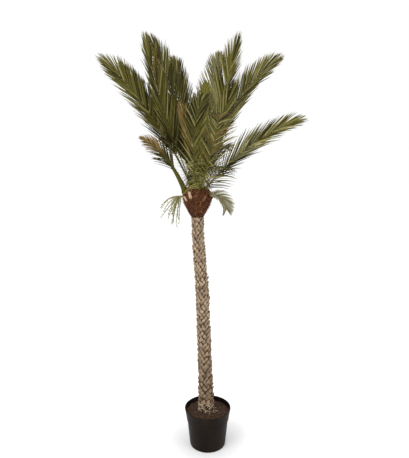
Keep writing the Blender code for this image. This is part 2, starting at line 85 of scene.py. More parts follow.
class PalmPotSettings(bpy.types.PropertyGroup):
    lip_radius: a_length("Lip radius", "Outer radius of the rolled lip", POT_HIGH.x, 0.05)
    wall: a_length("Wall", "Thickness of the moulded wall", 0.003)
    plastic: a_colour("Plastic", "Colour of the moulded plastic", (0.0082, 0.0046, 0.0032))
    dust: a_colour("Dust", "Dry compost dust that clings to the plastic", (0.050, 0.035, 0.025))


class PalmCompostSettings(bpy.types.PropertyGroup):
    crumbs: a_count("Crumbs", "Loose crumbs on the compost", 1500)
    chips: a_count("Bark chips", "Chips of bark on the compost", 320)
    dark: a_colour("Peat", "Colour of the peat", (0.050, 0.028, 0.017))
    pale: a_colour("Bark chip", "Colour of the bark chips", (0.165, 0.088, 0.050))


class PalmTrunkSettings(bpy.types.PropertyGroup):
    relief: a_length("Relief", "Height of a leaf scar's boss over the furrow round it", 0.0135, 0)
    face: a_colour("Scar face", "Colour of the worn face of a leaf scar", (0.475, 0.36, 0.245))
    furrow: a_colour("Furrow", "Colour of the fibre between the leaf scars", (0.082, 0.050, 0.026))
    hairs: a_count("Hairs", "Loose fibres along the trunk", 900)
    roots: a_count("Roots", "Roots that arch from the foot into the compost", 60)


class PalmHeadSettings(bpy.types.PropertyGroup):
    strands: a_count("Strands", "Strands of fibre wrapped round the head", 2600)
    fibre: a_colour("Fibre", "Colour of the brown fibre", (0.098, 0.036, 0.014))
    cut: a_colour("Cut stalk", "Colour of the freshly cut leaf stalks", (0.50, 0.34, 0.24))


class PalmFlowerSettings(bpy.types.PropertyGroup):
    strings: a_count("Strings", "Hanging strings of flowers", 15, 1)
    green: a_colour("Flower green", "Colour of the stalk and its strings", (0.235, 0.225, 0.105))


class PalmFrondSettings(bpy.types.PropertyGroup):
    pairs: a_count("Pairs", "Pairs of leaflets on a frond of full length", 104, 4)
    width: a_length("Leaflet width", "Widest part of a leaflet", 0.0066)
    length: a_length("Leaflet length", "Longest leaflets of a full frond", 0.245, 0.01)
    olive: a_colour("Olive", "Most of the leaflets", (0.100, 0.088, 0.017))
    pale: a_colour("Pale olive", "Sunlit and older leaflets", (0.250, 0.226, 0.082))
    deep: a_colour("Deep olive", "Shaded leaflets", (0.024, 0.021, 0.0045))
    # Painted shade: the dark green stands for the shade on the fronds behind and deep in the crown.
    dark: a_colour("Dark green", "Leaflets of the darkest fronds", (0.070, 0.062, 0.0155))
    # Painted sheen: the grey green is the leaflets' greyer undersides with painted sheen over it.
    grey: a_colour("Grey green", "Undersides of the fronds behind", (0.175, 0.163, 0.085))
    young: a_colour("Young green", "Leaflets of the newest fronds", (0.245, 0.222, 0.040))
    brown: a_colour("Dry brown", "Leaflets that have dried", (0.150, 0.094, 0.028))
    wan: a_colour("Wan green", "Leaflets of the frond that hangs", (0.32, 0.29, 0.19))
    tan: a_colour("Tan", "Leaflets that have bleached", (0.30, 0.20, 0.085))
    tip: a_colour("Dry tip", "Tips of the leaflets that have dried", (0.150, 0.110, 0.042))


class PalmStageSettings(bpy.types.PropertyGroup):
    camera: bpy.props.FloatVectorProperty(
        name="Camera", description="Where the camera stands", default=(-0.0225, -2.968, 2.0), subtype="TRANSLATION",
        unit="LENGTH", size=3
    )
    pitch: bpy.props.FloatProperty(
        name="Pitch", description="How far the camera looks down", default=math.radians(8.9), subtype="ANGLE"
    )
    lens: bpy.props.FloatProperty(name="Lens", description="Focal length in millimetres", default=36 * 455 / 458)
    floor: a_colour("Floor", "Colour of the plain floor", (0.88, 0.88, 0.88))
    key: bpy.props.FloatProperty(name="Key light", description="Watts of the main soft light", default=95, min=0)
    fill: bpy.props.FloatProperty(name="Fill light", description="Watts of the second soft light", default=30, min=0)


SETTINGS = (
    ("palm_pot", PalmPotSettings),
    ("palm_compost", PalmCompostSettings),
    ("palm_trunk", PalmTrunkSettings),
    ("palm_head", PalmHeadSettings),
    ("palm_flower", PalmFlowerSettings),
    ("palm_frond", PalmFrondSettings),
    ("palm_stage", PalmStageSettings),
)


# Finishes


class Term:
    """A shader socket that Python's own signs work on: an expression adds its Math nodes."""

    def __init__(self, finish, socket):
        self.finish, self.socket = finish, socket

    def calculate(self, operation, *terms):
        return self.finish.node("ShaderNodeMath", {"operation": operation}, dict(enumerate(terms)))

    def __add__(self, other):
        return self.calculate("ADD", self, other)

    def __sub__(self, other):
        return self.calculate("SUBTRACT", self, other)

    def __rsub__(self, other):
        return self.calculate("SUBTRACT", other, self)

    def __mul__(self, other):
        return self.calculate("MULTIPLY", self, other)

    __radd__ = __add__
    __rmul__ = __mul__


class Finish:
    """A material, built up node by node round one Principled shader."""

    def __init__(self, name, **plain):
        self.material = bpy.data.materials.new(name)
        self.material.use_nodes = True
        self.tree = self.material.node_tree
        self.shader = self.tree.nodes["Principled BSDF"]
        for socket, value in plain.items():
            self.shader.inputs[socket.replace("_", " ")].default_value = value

    def node(self, kind, settings=None, values=None, output=0):
        """Add a node: its settings first, then the values or links of its sockets."""
        node = self.tree.nodes.new(kind)
        for name, value in (settings or {}).items():
            setattr(node, name, value)
        for name, value in (values or {}).items():
            self.feed(node.inputs[name], value)
        return Term(self, node.outputs[output])

    def feed(self, socket, value):
        if isinstance(value, Term):
            self.tree.links.new(value.socket, socket)
        elif socket.type == "RGBA":
            socket.default_value = (*value, 1)
        else:
            socket.default_value = value

    def place(self, scale=(1, 1, 1)):
        """Object coordinates, stretched."""
        where = self.node("ShaderNodeTexCoord", output="Object")
        return self.node("ShaderNodeMapping", None, {"Vector": where, "Scale": scale})

    def height(self):
        """How far up the plant a point is, in metres."""
        where = self.node("ShaderNodeTexCoord", output="Object")
        return self.node("ShaderNodeSeparateXYZ", None, {0: where}, 2)

    def grain(self, where, scale, detail=3, roughness=0.6):
        values = {"Vector": where, "Scale": scale, "Detail": detail, "Roughness": roughness}
        return self.node("ShaderNodeTexNoise", None, values)

    def cells(self, where, scale):
        return self.node("ShaderNodeTexVoronoi", None, {"Vector": where, "Scale": scale})

    def attribute(self, name):
        return self.node("ShaderNodeAttribute", {"attribute_name": name}, None, "Fac")

    def step(self, value, start, end):
        """A smooth step from 0 to 1 while a value goes from start to end."""
        values = {"Value": value, "From Min": start, "From Max": end}
        return self.node("ShaderNodeMapRange", {"interpolation_type": "SMOOTHSTEP"}, values)

    def mix(self, share, low, high, blend="MIX"):
        settings = {"data_type": "RGBA", "blend_type": blend, "clamp_factor": True}
        return self.node("ShaderNodeMix", settings, {0: share, 6: low, 7: high}, 2)

    def shades(self, share, colour, low, high):
        """A colour between a darker and a lighter shade of itself."""
        return self.mix(share, shaded(colour, low), shaded(colour, high))

    def finish(self, colour, roughness, relief=None, depth=0.001, strength=0.5):
        """Connect what varies over the surface to the shader."""
        self.feed(self.shader.inputs["Base Color"], colour)
        self.feed(self.shader.inputs["Roughness"], roughness)
        if relief is not None:
            values = {"Height": relief, "Distance": depth, "Strength": strength}
            self.feed(self.shader.inputs["Normal"], self.node("ShaderNodeBump", None, values))
        return self.material


def shaded(colour, share):
    """A colour made darker or lighter."""
    return tuple(min(1.0, part * share) for part in colour)


def pot_plastic(settings):
    """Black moulded plastic, a little dusty near the compost and scuffed at the foot."""
    plastic = Finish("pot_plastic", Specular_IOR_Level=0.06)
    where = plastic.place()
    patches = plastic.grain(where, 9, 5)
    scuffs = plastic.step(plastic.grain(plastic.place((1, 1, 9)), 26, 4), 0.60, 0.74)
    height = plastic.height()
    low = 1 - plastic.step(height, 0.004, 0.06)
    high = plastic.step(height, 0.235, 0.268)
    dust = plastic.step(patches, 0.42, 0.72) * (0.10 + 0.30 * low + 0.34 * high) + scuffs * 0.14
    colour = plastic.mix(dust, settings.plastic, settings.dust)
    roughness = 0.40 + 0.16 * patches + 0.22 * dust
    fine = plastic.grain(where, 900, 2)
    values = {"Vector": where, "Scale": 60, "Distortion": 0.4}
    rings = plastic.node("ShaderNodeTexWave", {"bands_direction": "Z"}, values)
    return plastic.finish(colour, roughness, fine * 0.5 + rings * 0.16 + scuffs * 0.3, 0.0005, 0.30)


def compost_finish(name, settings, paleness):
    """Damp peat, or the bark chips in it."""
    peat = Finish(name, Specular_IOR_Level=0.2)
    where = peat.place()
    lumps = peat.grain(where, 160, 5)
    specks = peat.step(peat.cells(where, 420), 0.10, 0.32)
    colour = peat.shades(peat.step(lumps, 0.38, 0.66), settings.dark, 0.55 + paleness, 1)
    colour = peat.mix(peat.step(peat.grain(where, 55, 3), 0.50, 0.68) * (0.35 + 0.6 * paleness), colour, settings.pale)
    colour = peat.mix((1 - specks) * 0.35, colour, shaded(settings.pale, 1.5))
    return peat.finish(colour, 0.86 + 0.12 * lumps, lumps + specks * 0.3, 0.003, 0.8)


def trunk_bark(settings):
    """Pale leaf scars with painted highlight over brown fibre, weathered greyer and darker low down, with painted shade
    at the foot.
    """
    bark = Finish("trunk_bark", Specular_IOR_Level=0.22)
    # The scar attribute is the worn face of each boss, with painted highlight along its upper edge.
    scar = bark.attribute("scar")
    fibres = bark.grain(bark.place((1, 1, 0.16)), 420, 4, 0.65)
    cross = bark.grain(bark.place((0.25, 0.25, 1)), 300, 3)
    patches = bark.grain(bark.place(), 15, 4)
    face = bark.shades(bark.step(patches, 0.34, 0.68), settings.face, 0.74, 1.18)
    face = bark.mix(bark.attribute("tone"), shaded(settings.face, 0.50), face)
    face = bark.mix(bark.step(fibres, 0.42, 0.66) * 0.45, face, shaded(settings.furrow, 2.0))
    furrow = bark.shades(bark.step(fibres, 0.40, 0.62), settings.furrow, 0.60, 1.7)
    colour = bark.mix(bark.step(scar + (cross - 0.5) * 0.5, 0.22, 0.70), furrow, face)
    weathered = bark.mix(0.5 + 0.5 * patches, (0.40, 0.34, 0.28), (0.62, 0.57, 0.50))
    low = 1 - bark.step(bark.height(), 0.30, 0.86)
    colour = bark.mix(low * 0.72, colour, bark.mix(1.0, colour, weathered, "MULTIPLY"))
    # Painted shade: the foot of the trunk, from the compost up among the roots, darkened almost to black.
    colour = bark.mix(0.7 - 0.7 * bark.step(bark.height(), 0.258, 0.330), colour, shaded(settings.furrow, 0.6))
    roughness = 0.94 - 0.20 * scar + 0.06 * fibres
    return bark.finish(colour, roughness, fibres * 0.8 + cross * 0.35 + patches * 0.3, 0.0016, 0.7)


def hair_finish(name, colour, spread):
    """Dry plant fibre with lengthwise streaks."""
    fibre = Finish(name, Specular_IOR_Level=0.18)
    where = fibre.place((1, 1, 0.12))
    streaks = fibre.grain(where, 520, 4, 0.65)
    patches = fibre.grain(fibre.place(), 34, 3)
    tone = fibre.shades(fibre.step(streaks, 0.36, 0.66), colour, 1 - spread, 1 + spread)
    tone = fibre.mix(fibre.step(patches, 0.52, 0.72) * 0.5, tone, shaded(colour, 0.55))
    return fibre.finish(tone, 0.80 + 0.18 * streaks, streaks, 0.0012, 0.7)


def cut_finish(name, colour, edge):
    """Fleshy leaf stalk, sawn across, with a fibrous grain."""
    stalk = Finish(name, Specular_IOR_Level=0.25)
    grain = stalk.grain(stalk.place((1, 1, 0.2)), 300, 4)
    bruises = stalk.grain(stalk.place(), 60, 3)
    tone = stalk.shades(stalk.step(grain, 0.4, 0.66), colour, 0.78, 1.12)
    tone = stalk.mix(stalk.step(bruises, 0.50, 0.66) * 0.7, tone, edge)
    return stalk.finish(tone, 0.62 + 0.25 * grain, grain, 0.001, 0.5)


def leaf_finish(name, colour, roughness=0.46, veins=1.0):
    """A leathery leaf: fine veins along it, a slight wax bloom and small marks."""
    leaf = Finish(name, Specular_IOR_Level=0.08)
    along = leaf.node("ShaderNodeTexCoord", output="UV")
    across = leaf.node("ShaderNodeSeparateXYZ", None, {0: along}, 0)
    ridges = leaf.node("ShaderNodeMath", {"operation": "PINGPONG"}, {0: across, 1: 0.055}) * 18
    marks = leaf.grain(leaf.place(), 240, 4)
    bloom = leaf.grain(leaf.place(), 24, 2)
    tone = leaf.shades(leaf.step(marks, 0.36, 0.68), colour, 0.86, 1.13)
    tone = leaf.mix(bloom * 0.22, tone, shaded(colour, 1.30))
    return leaf.finish(tone, roughness + 0.16 * bloom + 0.10 * marks, ridges * veins + marks * 0.4, 0.0004, 0.45)


# Shapes


def ease(value):
    """A smooth step from 0 to 1."""
    value = min(1.0, max(0.0, value))
    return value * value * (3 - 2 * value)


def mix(start, end, share):
    return start + (end - start) * share


def polar(turn, rise=0):
    """The unit vector with a turn and a rise in degrees."""
    turn, rise = math.radians(turn), math.radians(rise)
    return Vector((math.cos(rise) * math.cos(turn), math.cos(rise) * math.sin(turn), math.sin(rise)))


ORDER_ALONG = Vector((1.0, 1.6180339, 271.828))  # a slant on which no two points of a piece are level


def put_in_order(bm):
    """Sort points and faces by where they are, so that each run writes them alike."""
    bm.verts.sort(key=lambda vert: vert.co.dot(ORDER_ALONG))
    bm.faces.sort(key=lambda face: face.calc_center_median().dot(ORDER_ALONG))


def turned(profile, sides):
    """A closed solid turned about the Z axis from (radius, height) points that start and end on it."""
    bm = bmesh.new()
    points = [bm.verts.new((radius, 0, height)) for radius, height in profile]
    edges = [bm.edges.new(pair) for pair in zip(points, points[1:])]
    bmesh.ops.spin(
        bm, geom=points + edges, axis=(0, 0, 1), cent=(0, 0, 0), angle=math.tau, steps=sides, use_merge=True
    )
    bmesh.ops.remove_doubles(bm, verts=bm.verts, dist=1e-5)
    bmesh.ops.recalc_face_normals(bm, faces=bm.faces)
    put_in_order(bm)
    return bm


def swept(rings, tip=None):
    """A closed limb through rings of points, ending in a tip or a flat cut."""
    bm = bmesh.new()
    face = bm.faces.new([bm.verts.new(point) for point in rings[0]])
    face.copy(verts=False, edges=False)
    for ring in list(rings[1:]) + ([rings[-1]] if tip else []):
        face = bmesh.ops.extrude_discrete_faces(bm, faces=[face])["faces"][0]
        for vert, point in zip(face.verts, ring):
            vert.co = point
    if tip:
        bmesh.ops.pointmerge(bm, verts=face.verts, merge_co=tip)
    bmesh.ops.recalc_face_normals(bm, faces=bm.faces)
    return bm


def limb(points, radii, sides, flat=1.0, tip=True):
    """A thin limb through points, with a radius at each."""
    rings = []
    for number, (point, radius) in enumerate(zip(points, radii)):
        ahead = points[min(number + 1, len(points) - 1)] - points[max(number - 1, 0)]
        turn = Vector((0, 0, 1)).rotation_difference(ahead.normalized())
        ring = [polar(360 * side / sides) * radius for side in range(sides)]
        rings.append([point + turn @ Vector((corner.x, corner.y * flat, 0)) for corner in ring])
    end = points[-1] + (points[-1] - points[-2]).normalized() * radii[-1] * 2
    return swept(rings, end if tip else None)


def thinning(radius, last_share, count):
    """The radii of a limb that thins to a share of its first."""
    return [radius * mix(1.0, last_share, number / (count - 1)) for number in range(count)]


def to_mesh(name, bm):
    mesh = bpy.data.meshes.new(name)
    bm.to_mesh(mesh)
    bm.free()
    return mesh


def add_object(name, data):
    made = bpy.data.objects.new(name, data)
    bpy.context.scene.collection.objects.link(made)
    return made


class Heap:
    """Many small closed shapes, joined into one mesh."""

    def __init__(self):
        self.bm = bmesh.new()
        self.scratch = bpy.data.meshes.new("scratch")

    def add(self, bm):
        """Take over a small shape."""
        bm.to_mesh(self.scratch)
        bm.free()
        self.bm.from_mesh(self.scratch)

    def add_copy(self, mesh):
        """Add a copy of a mesh, and give its points."""
        self.bm.from_mesh(mesh)
        self.bm.verts.ensure_lookup_table()
        return self.bm.verts[-len(mesh.vertices):]

    def add_blade(self, mesh, blade):
        """Add a copy of a unit leaflet in its place: it leaves its root straight, and bends and twists on its way."""
        over = blade.along.cross(blade.across)
        for vert in self.add_copy(mesh):
            x, y, share = vert.co
            turn = Quaternion(blade.along, blade.twist * share)
            spot = blade.root + blade.along * (blade.length * share) + blade.bend * share**2
            vert.co = spot + turn @ (blade.across * (x * blade.width) + over * (y * blade.width))


def piece(name, bm, materials, nodes, smooth_under=45):
    """A finished piece: it rides with the plant, hides the solids of its nodes and takes its finishes."""
    bmesh.ops.recalc_face_normals(bm, faces=bm.faces)
    mesh = to_mesh(name, bm)
    for material in materials:
        mesh.materials.append(material)
    mesh.shade_smooth()
    mesh.set_sharp_from_angle(angle=math.radians(smooth_under))
    made = add_object(name, mesh)
    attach(made, "root")
    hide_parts(*nodes)


# How wide a leaflet is at each share of its length.
BLADE_STATIONS = ((0.0, 0.62), (0.09, 0.88), (0.24, 1.0), (0.44, 0.98), (0.64, 0.82), (0.80, 0.58), (0.92, 0.32))
WITHERED_FROM = 0.80  # of the way along a leaflet, where a dry tip starts
Blade = namedtuple("Blade", "root along across length width bend twist")


def blade_mesh(name, stations=BLADE_STATIONS, fold=0.20, thickness=0.10, withered_from=1.0):
    """One leaflet in unit size: X across, Y over it and Z along it, folded like a shallow V."""
    corners = ((-0.5, fold), (0.0, -thickness / 2), (0.5, fold), (0.0, thickness / 2))
    rings = [[Vector((x * width, y * width, share)) for x, y in corners] for share, width in stations]
    bm = swept(rings, Vector((0, 0, 1)))
    across = bm.loops.layers.uv.new("UVMap")
    for face in bm.faces:
        for loop in face.loops:
            loop[across].uv = (loop.vert.co.x + 0.5, loop.vert.co.z)
        face.material_index = 1 if face.calc_center_median().z > withered_from else 0
    return to_mesh(name, bm)


# Pot and compost

POT_STEP_HEIGHT = 0.186  # where the collar stands out over the body
POT_FOOT_RADIUS, POT_BODY_RADIUS, POT_COLLAR_RADIUS = 0.1235, 0.1425, 0.1465
POT_LIP_DEPTH, POT_LIP_REACH = 0.007, 0.0015
POT_WELL_RADIUS, POT_WELL_DEPTH = 0.096, 0.004  # of the hollow under the pot
POT_FLOOR = 0.008
POT_SIDES, POT_ROUNDING = 128, 0.0011
SOIL_HEIGHT, SOIL_EDGE_HEIGHT, SOIL_FLAT_RADIUS = 0.248, 0.240, 0.066
SOIL_UNDERSIDE = 0.215
SOIL_SIDES, SOIL_RINGS = 112, 34
SOIL_HEAP = 0.006  # the rise of the compost at the trunk
SOIL_LUMPS = ((0.0042, 24), (0.0022, 75))  # their height and how close they lie
CRUMB_SIZES, CRUMB_FLATNESS = (0.0010, 0.0034), 0.8
CHIP_SIZES, CHIP_FLATNESS = (0.0022, 0.0062), 0.35
SOIL_CLEARANCE = 0.0004  # between the compost and the wall


def pot_inner_radius(height, wall):
    """The radius inside the pot's collar at a height."""
    share = (height - POT_STEP_HEIGHT) / (POT_HIGH.z - POT_STEP_HEIGHT)
    return mix(POT_COLLAR_RADIUS, POT_HIGH.x - POT_LIP_REACH, share) - wall


def soil_height(spot):
    """The top of the compost: heaped round the trunk, and lumpy."""
    away = (spot.xy - trunk_middle(SOIL_HEIGHT).xy).length
    heap = SOIL_HEAP * (1 - ease((away - 0.045) / 0.05))
    slope = mix(SOIL_HEIGHT, SOIL_EDGE_HEIGHT, ease((spot.xy.length - SOIL_FLAT_RADIUS) / 0.085))
    return slope + heap + sum(height * noise.noise(spot.xy.to_3d() * close) for height, close in SOIL_LUMPS)


class PALM_OT_add_pot(bpy.types.Operator):
    """Turn the moulded pot, with its rolled lip, deep collar and rounded foot"""

    bl_idname = "palm.add_pot"
    bl_label = "Pot"

    def execute(self, context):
        settings = context.scene.palm_pot
        lip, wall, top = settings.lip_radius, settings.wall, POT_HIGH.z
        collar = lip - POT_LIP_REACH
        profile = (
            (0, POT_WELL_DEPTH), (POT_WELL_RADIUS, POT_WELL_DEPTH), (POT_WELL_RADIUS + 0.003, 0),
            (POT_FOOT_RADIUS - 0.002, 0), (POT_FOOT_RADIUS, 0.003),
            (mix(POT_FOOT_RADIUS, POT_BODY_RADIUS, 0.10) - 0.0002, 0.019),
            (mix(POT_FOOT_RADIUS, POT_BODY_RADIUS, 0.12) + 0.0004, 0.0215),
            (POT_BODY_RADIUS, POT_STEP_HEIGHT - 0.003), (POT_COLLAR_RADIUS, POT_STEP_HEIGHT),
            (POT_COLLAR_RADIUS + 0.0008, POT_STEP_HEIGHT + 0.006),
            (collar, top - POT_LIP_DEPTH - 0.001), (lip, top - POT_LIP_DEPTH), (lip, top),
            (lip - wall - 0.0012, top), (pot_inner_radius(top - 0.004, wall), top - 0.004),
            (POT_COLLAR_RADIUS - wall, POT_STEP_HEIGHT + wall), (POT_BODY_RADIUS - wall, POT_STEP_HEIGHT),
            (POT_FOOT_RADIUS - wall, POT_FLOOR), (0, POT_FLOOR),
        )
        bm = turned(profile, POT_SIDES)
        rims = [edge for edge in bm.edges if edge.calc_face_angle(0) > math.radians(20) and edge.verts[0].co.z > 1e-6]
        rims = [edge for edge in rims if abs(edge.verts[0].co.z - edge.verts[1].co.z) < 1e-6]
        bmesh.ops.bevel(
            bm, geom=rims, offset=POT_ROUNDING, segments=3, affect="EDGES", profile=0.5, material=-1,
            clamp_overlap=True
        )
        piece("moulded_pot", bm, [pot_plastic(settings)], ["pot"], 50)
        return {"FINISHED"}


class PALM_OT_add_compost(bpy.types.Operator):
    """Fill the pot with lumpy compost, and strew crumbs and chips of bark on it"""

    bl_idname = "palm.add_compost"
    bl_label = "Compost"

    def execute(self, context):
        settings = context.scene.palm_compost
        edge = pot_inner_radius(SOIL_EDGE_HEIGHT, context.scene.palm_pot.wall) - SOIL_CLEARANCE
        top = [(edge * (1 - ring / SOIL_RINGS), SOIL_HEIGHT) for ring in range(SOIL_RINGS)]
        underside = [(0, SOIL_UNDERSIDE), (edge - 0.004, SOIL_UNDERSIDE)]
        bm = turned(underside + top + [(0, SOIL_HEIGHT)], SOIL_SIDES)
        for vert in bm.verts:
            if vert.co.z > SOIL_HEIGHT - 1e-4:
                vert.co.z = soil_height(vert.co)
        piece("compost_bed", bm, [compost_finish("peat", settings, 0.0)], ["soil"], 70)
        crumbs, chips = compost_finish("crumbs", settings, 0.3), compost_finish("chips", settings, 0.8)
        self.strew("compost_crumbs", settings.crumbs, CRUMB_SIZES, CRUMB_FLATNESS, crumbs, edge)
        self.strew("bark_chips", settings.chips, CHIP_SIZES, CHIP_FLATNESS, chips, edge)
        return {"FINISHED"}

    def strew(self, name, count, sizes, flat, material, edge):
        """Small faceted lumps that lie on the compost, half sunk."""
        rng = random.Random(name)
        bm = bmesh.new()
        bmesh.ops.create_icosphere(bm, subdivisions=1, radius=1)
        lump = to_mesh(name, bm)
        heap = Heap()
        for _ in range(count):
            size = mix(*sizes, rng.random() ** 2.2)
            spot = polar(rng.uniform(0, 360)) * (math.sqrt(rng.random()) * (edge - size * 1.6))
            if (spot.xy - trunk_middle(SOIL_HEIGHT).xy).length < TRUNK_ROOM:
                continue
            spot.z = soil_height(spot) + size * flat * 0.35
            turn = Quaternion(polar(rng.uniform(0, 360), rng.uniform(-20, 20)), rng.uniform(-0.5, 0.5))
            turn = turn @ Quaternion((0, 0, 1), rng.uniform(0, math.tau))
            shape = Vector((size, size * rng.uniform(0.5, 0.9), size * flat))
            for vert in heap.add_copy(lump):
                vert.co = spot + turn @ (vert.co * rng.uniform(0.82, 1.12) * shape)
        piece(name, heap.bm, [material], ["soil"], 35)


# Trunk

TRUNK_TOP = 1.615
TRUNK_FOOT_RADIUS, TRUNK_RADIUS, TRUNK_TOP_RADIUS = 0.0505, 0.0465, 0.0345
SCARS_ROUND, SCAR_ROWS, SCAR_TWIST = 9, 66, 3.5
SCAR_STEPS_ROUND, SCAR_STEPS_UP = 14, 7  # of the mesh, in a scar and in a row
TRUNK_ROOM = 0.050  # round the middle of the trunk, where no crumbs lie
HAIR_SHAPE, HAIR_LENGTHS, HAIR_WIDTH = ((0, 1.0), (0.5, 0.7)), (0.010, 0.024), 0.0011
ROOT_STEPS, ROOT_HEIGHTS, ROOT_LEANS, ROOT_RADII = 7, (0.256, 0.335), (8, 58), (0.0014, 0.0025)
# The turn and length of the rootlets that lie on the compost, and how they thin.
ROOTLETS = ((-20, 0.030), (-38, 0.022), (12, 0.026), (-72, 0.016), (150, 0.02), (200, 0.024), (75, 0.02))
ROOTLET_RADII = (0.0018, 0.0017, 0.0016, 0.0014, 0.0012, 0.0009)


def trunk_middle(height):
    """The middle of the trunk at a height: it leans, and bends once."""
    return Vector((-0.008 - 0.034 * (height - SOIL_HEIGHT) - 0.015 * ease((height - 1.06) / 0.44), 0, height))


def noise_round(turn, width, height, shift=(0, 0, 0)):
    """Noise that closes on itself on the way round the trunk."""
    return noise.noise(polar(turn) * width + Vector((0, 0, height)) + Vector(shift))


def trunk_radius(height):
    """The radius of the trunk without its scars: it tapers, and flares at the foot."""
    share = (height - SOIL_HEIGHT) / (TRUNK_TOP - SOIL_HEIGHT)
    flare = 1 - ease((height - SOIL_HEIGHT) / 0.09)
    return mix(TRUNK_RADIUS, TRUNK_TOP_RADIUS, share) + (TRUNK_FOOT_RADIUS - TRUNK_RADIUS) * flare


def scar_place(turn, height):
    """Which leaf scar a point is on, and where on it: across and up from its middle, each within a half."""
    row = (height - TRUNK_LOW.z) / (TRUNK_TOP - TRUNK_LOW.z) * SCAR_ROWS
    round_trunk, up = (turn - SCAR_TWIST * row) / (360 / SCARS_ROUND), row / 2
    first, second = round_trunk + up, round_trunk - up
    middle = Vector(((round(first) + round(second)) / 2, (round(first) - round(second)) / 2))
    first, second = first - round(first), second - round(second)
    return middle, (first + second) / 2, (first - second) / 2


def scar_relief(turn, height):
    """Height of the bark from 0 in a furrow to 1 on a boss, how much of the point is worn face and painted highlight,
    and its tone.
    """
    middle, across, up = scar_place(turn, height)
    scar_turn, scar_height = 360 * middle.x / SCARS_ROUND, middle.y * 3.7
    odd, other = noise_round(scar_turn, 7, scar_height), noise_round(scar_turn, 7, scar_height, (31, 7, 5))
    across, up = across * (1 + 0.5 * odd) + 0.22 * other, up * (1 + 0.35 * other) + 0.24 * odd
    up += 0.2 * abs(across) + 0.20 * noise_round(turn, 3.2, height * 85, (9, 4, 2))
    across += 0.16 * noise_round(turn, 3.2, height * 85)
    reach = 2 * (abs(across) ** 1.4 + abs(up) ** 1.4) ** (1 / 1.4)
    boss = ease((1.04 - reach) / 0.40)
    lean = 0.62 + 1.45 * up + 0.55 * odd
    groove = 1 - 0.28 * ease(1 - abs(across) / 0.10) * ease((up + 0.30) / 0.3)
    # The share of worn face rises towards each boss's upper edge: painted highlight along the top, over the worn face.
    return boss * lean * groove, boss * (0.75 + 0.5 * odd + 0.5 * up), 0.5 + 1.1 * other


class PALM_OT_add_trunk(bpy.types.Operator):
    """Grow the leaning trunk, with a boss for each old leaf in a spiral lattice"""

    bl_idname = "palm.add_trunk"
    bl_label = "Trunk"

    def execute(self, context):
        settings = context.scene.palm_trunk
        steps = SCAR_ROWS * SCAR_STEPS_UP
        low = TRUNK_LOW.z
        profile = [(0, low)] + [(1, mix(low, TRUNK_TOP, step / steps)) for step in range(steps + 1)] + [(0, TRUNK_TOP)]
        bm = turned(profile, SCARS_ROUND * SCAR_STEPS_ROUND)
        scar, tone = bm.verts.layers.float.new("scar"), bm.verts.layers.float.new("tone")
        for vert in bm.verts:
            height = vert.co.z
            if vert.co.xy.length < 0.5:
                vert.co = trunk_middle(height)
                continue
            turn = math.degrees(math.atan2(vert.co.y, vert.co.x))
            relief, face, vert[tone] = scar_relief(turn, height)
            ends = ease((height - low) / 0.004) * ease((TRUNK_TOP - height) / 0.004)
            rough = 0.0008 * noise.noise(Vector((vert.co.x * 6, vert.co.y * 6, height * 160)))
            radius = trunk_radius(height) + ends * (settings.relief * (relief - 0.36) + rough)
            vert[scar] = face
            vert.co = polar(turn) * radius + trunk_middle(height) + Vector((0, 0, ends * 0.0075 * relief * face))
        piece("bark", bm, [trunk_bark(settings)], ["trunk"], 70)
        self.add_hairs(settings)
        return {"FINISHED"}

    def add_hairs(self, settings):
        """Loose fibres that stand out of the furrows and off the top of each boss."""
        rng = random.Random("hairs")
        hair = blade_mesh("hair", HAIR_SHAPE, fold=0.1, thickness=0.7)
        heap = Heap()
        for _ in range(settings.hairs):
            height = mix(0.27, TRUNK_TOP - 0.01, rng.random())
            turn = rng.uniform(0, 360)
            relief, _, _ = scar_relief(turn, height)
            out = polar(turn)
            root = trunk_middle(height) + out * (trunk_radius(height) + settings.relief * (relief - 0.6))
            along = polar(turn + rng.uniform(-70, 70)) * 0.5 + Vector((0, 0, rng.uniform(0.2, 1.2))) + out * 0.22
            along.normalize()
            across, length = along.cross(out).normalized(), rng.uniform(*HAIR_LENGTHS)
            heap.add_blade(hair, Blade(root, along, across, length, HAIR_WIDTH, out * rng.uniform(-0.002, 0.006), 0))
        piece("trunk_hairs", heap.bm, [hair_finish("dry_hair", (0.27, 0.19, 0.12), 0.4)], ["trunk"])


class PALM_OT_add_roots(bpy.types.Operator):
    """Arch pale roots from the foot of the trunk down into the compost"""

    bl_idname = "palm.add_roots"
    bl_label = "Roots at the foot"

    def execute(self, context):
        roots = context.scene.palm_trunk.roots
        rng = random.Random("roots")
        heap = Heap()
        for number in range(roots):
            turn = 360 * number / roots + rng.uniform(-6, 6)
            height = mix(*ROOT_HEIGHTS, rng.random() ** 1.2)
            reach = rng.uniform(0.001, 0.009)
            lean = rng.choice((-1, 1)) * rng.uniform(*ROOT_LEANS)
            points = []
            for step in range(ROOT_STEPS + 1):
                share = step / ROOT_STEPS
                away = trunk_radius(height) + 0.001 + reach * math.sin(share * math.pi * 0.8)
                points.append(trunk_middle(height) + polar(turn + lean * share) * away)
                points[-1].z = mix(height, max(SOIL_HEIGHT - 0.003, height - 0.030), share**1.5)
                points[-1].z += 0.003 * math.sin(share * math.pi)
            heap.add(limb(points, thinning(rng.uniform(*ROOT_RADII), 0.7, ROOT_STEPS + 1), 6, 0.8, tip=False))
        for turn, length in ROOTLETS:
            points = []
            for step in range(len(ROOTLET_RADII)):
                share = step / (len(ROOTLET_RADII) - 1)
                out = polar(turn) * (TRUNK_FOOT_RADIUS + 0.002) + polar(turn + 24 * share) * (length * share)
                points.append(trunk_middle(0.25) + out)
                points[-1].z = SOIL_HEIGHT + 0.012 - 0.012 * share**0.7
            heap.add(limb(points, ROOTLET_RADII, 6))
        pale = cut_finish("pale_root", (0.66, 0.53, 0.36), (0.22, 0.14, 0.08))
        piece("foot_roots", heap.bm, [pale], ["trunk"])
        return {"FINISHED"}


# Fibre head and stubs

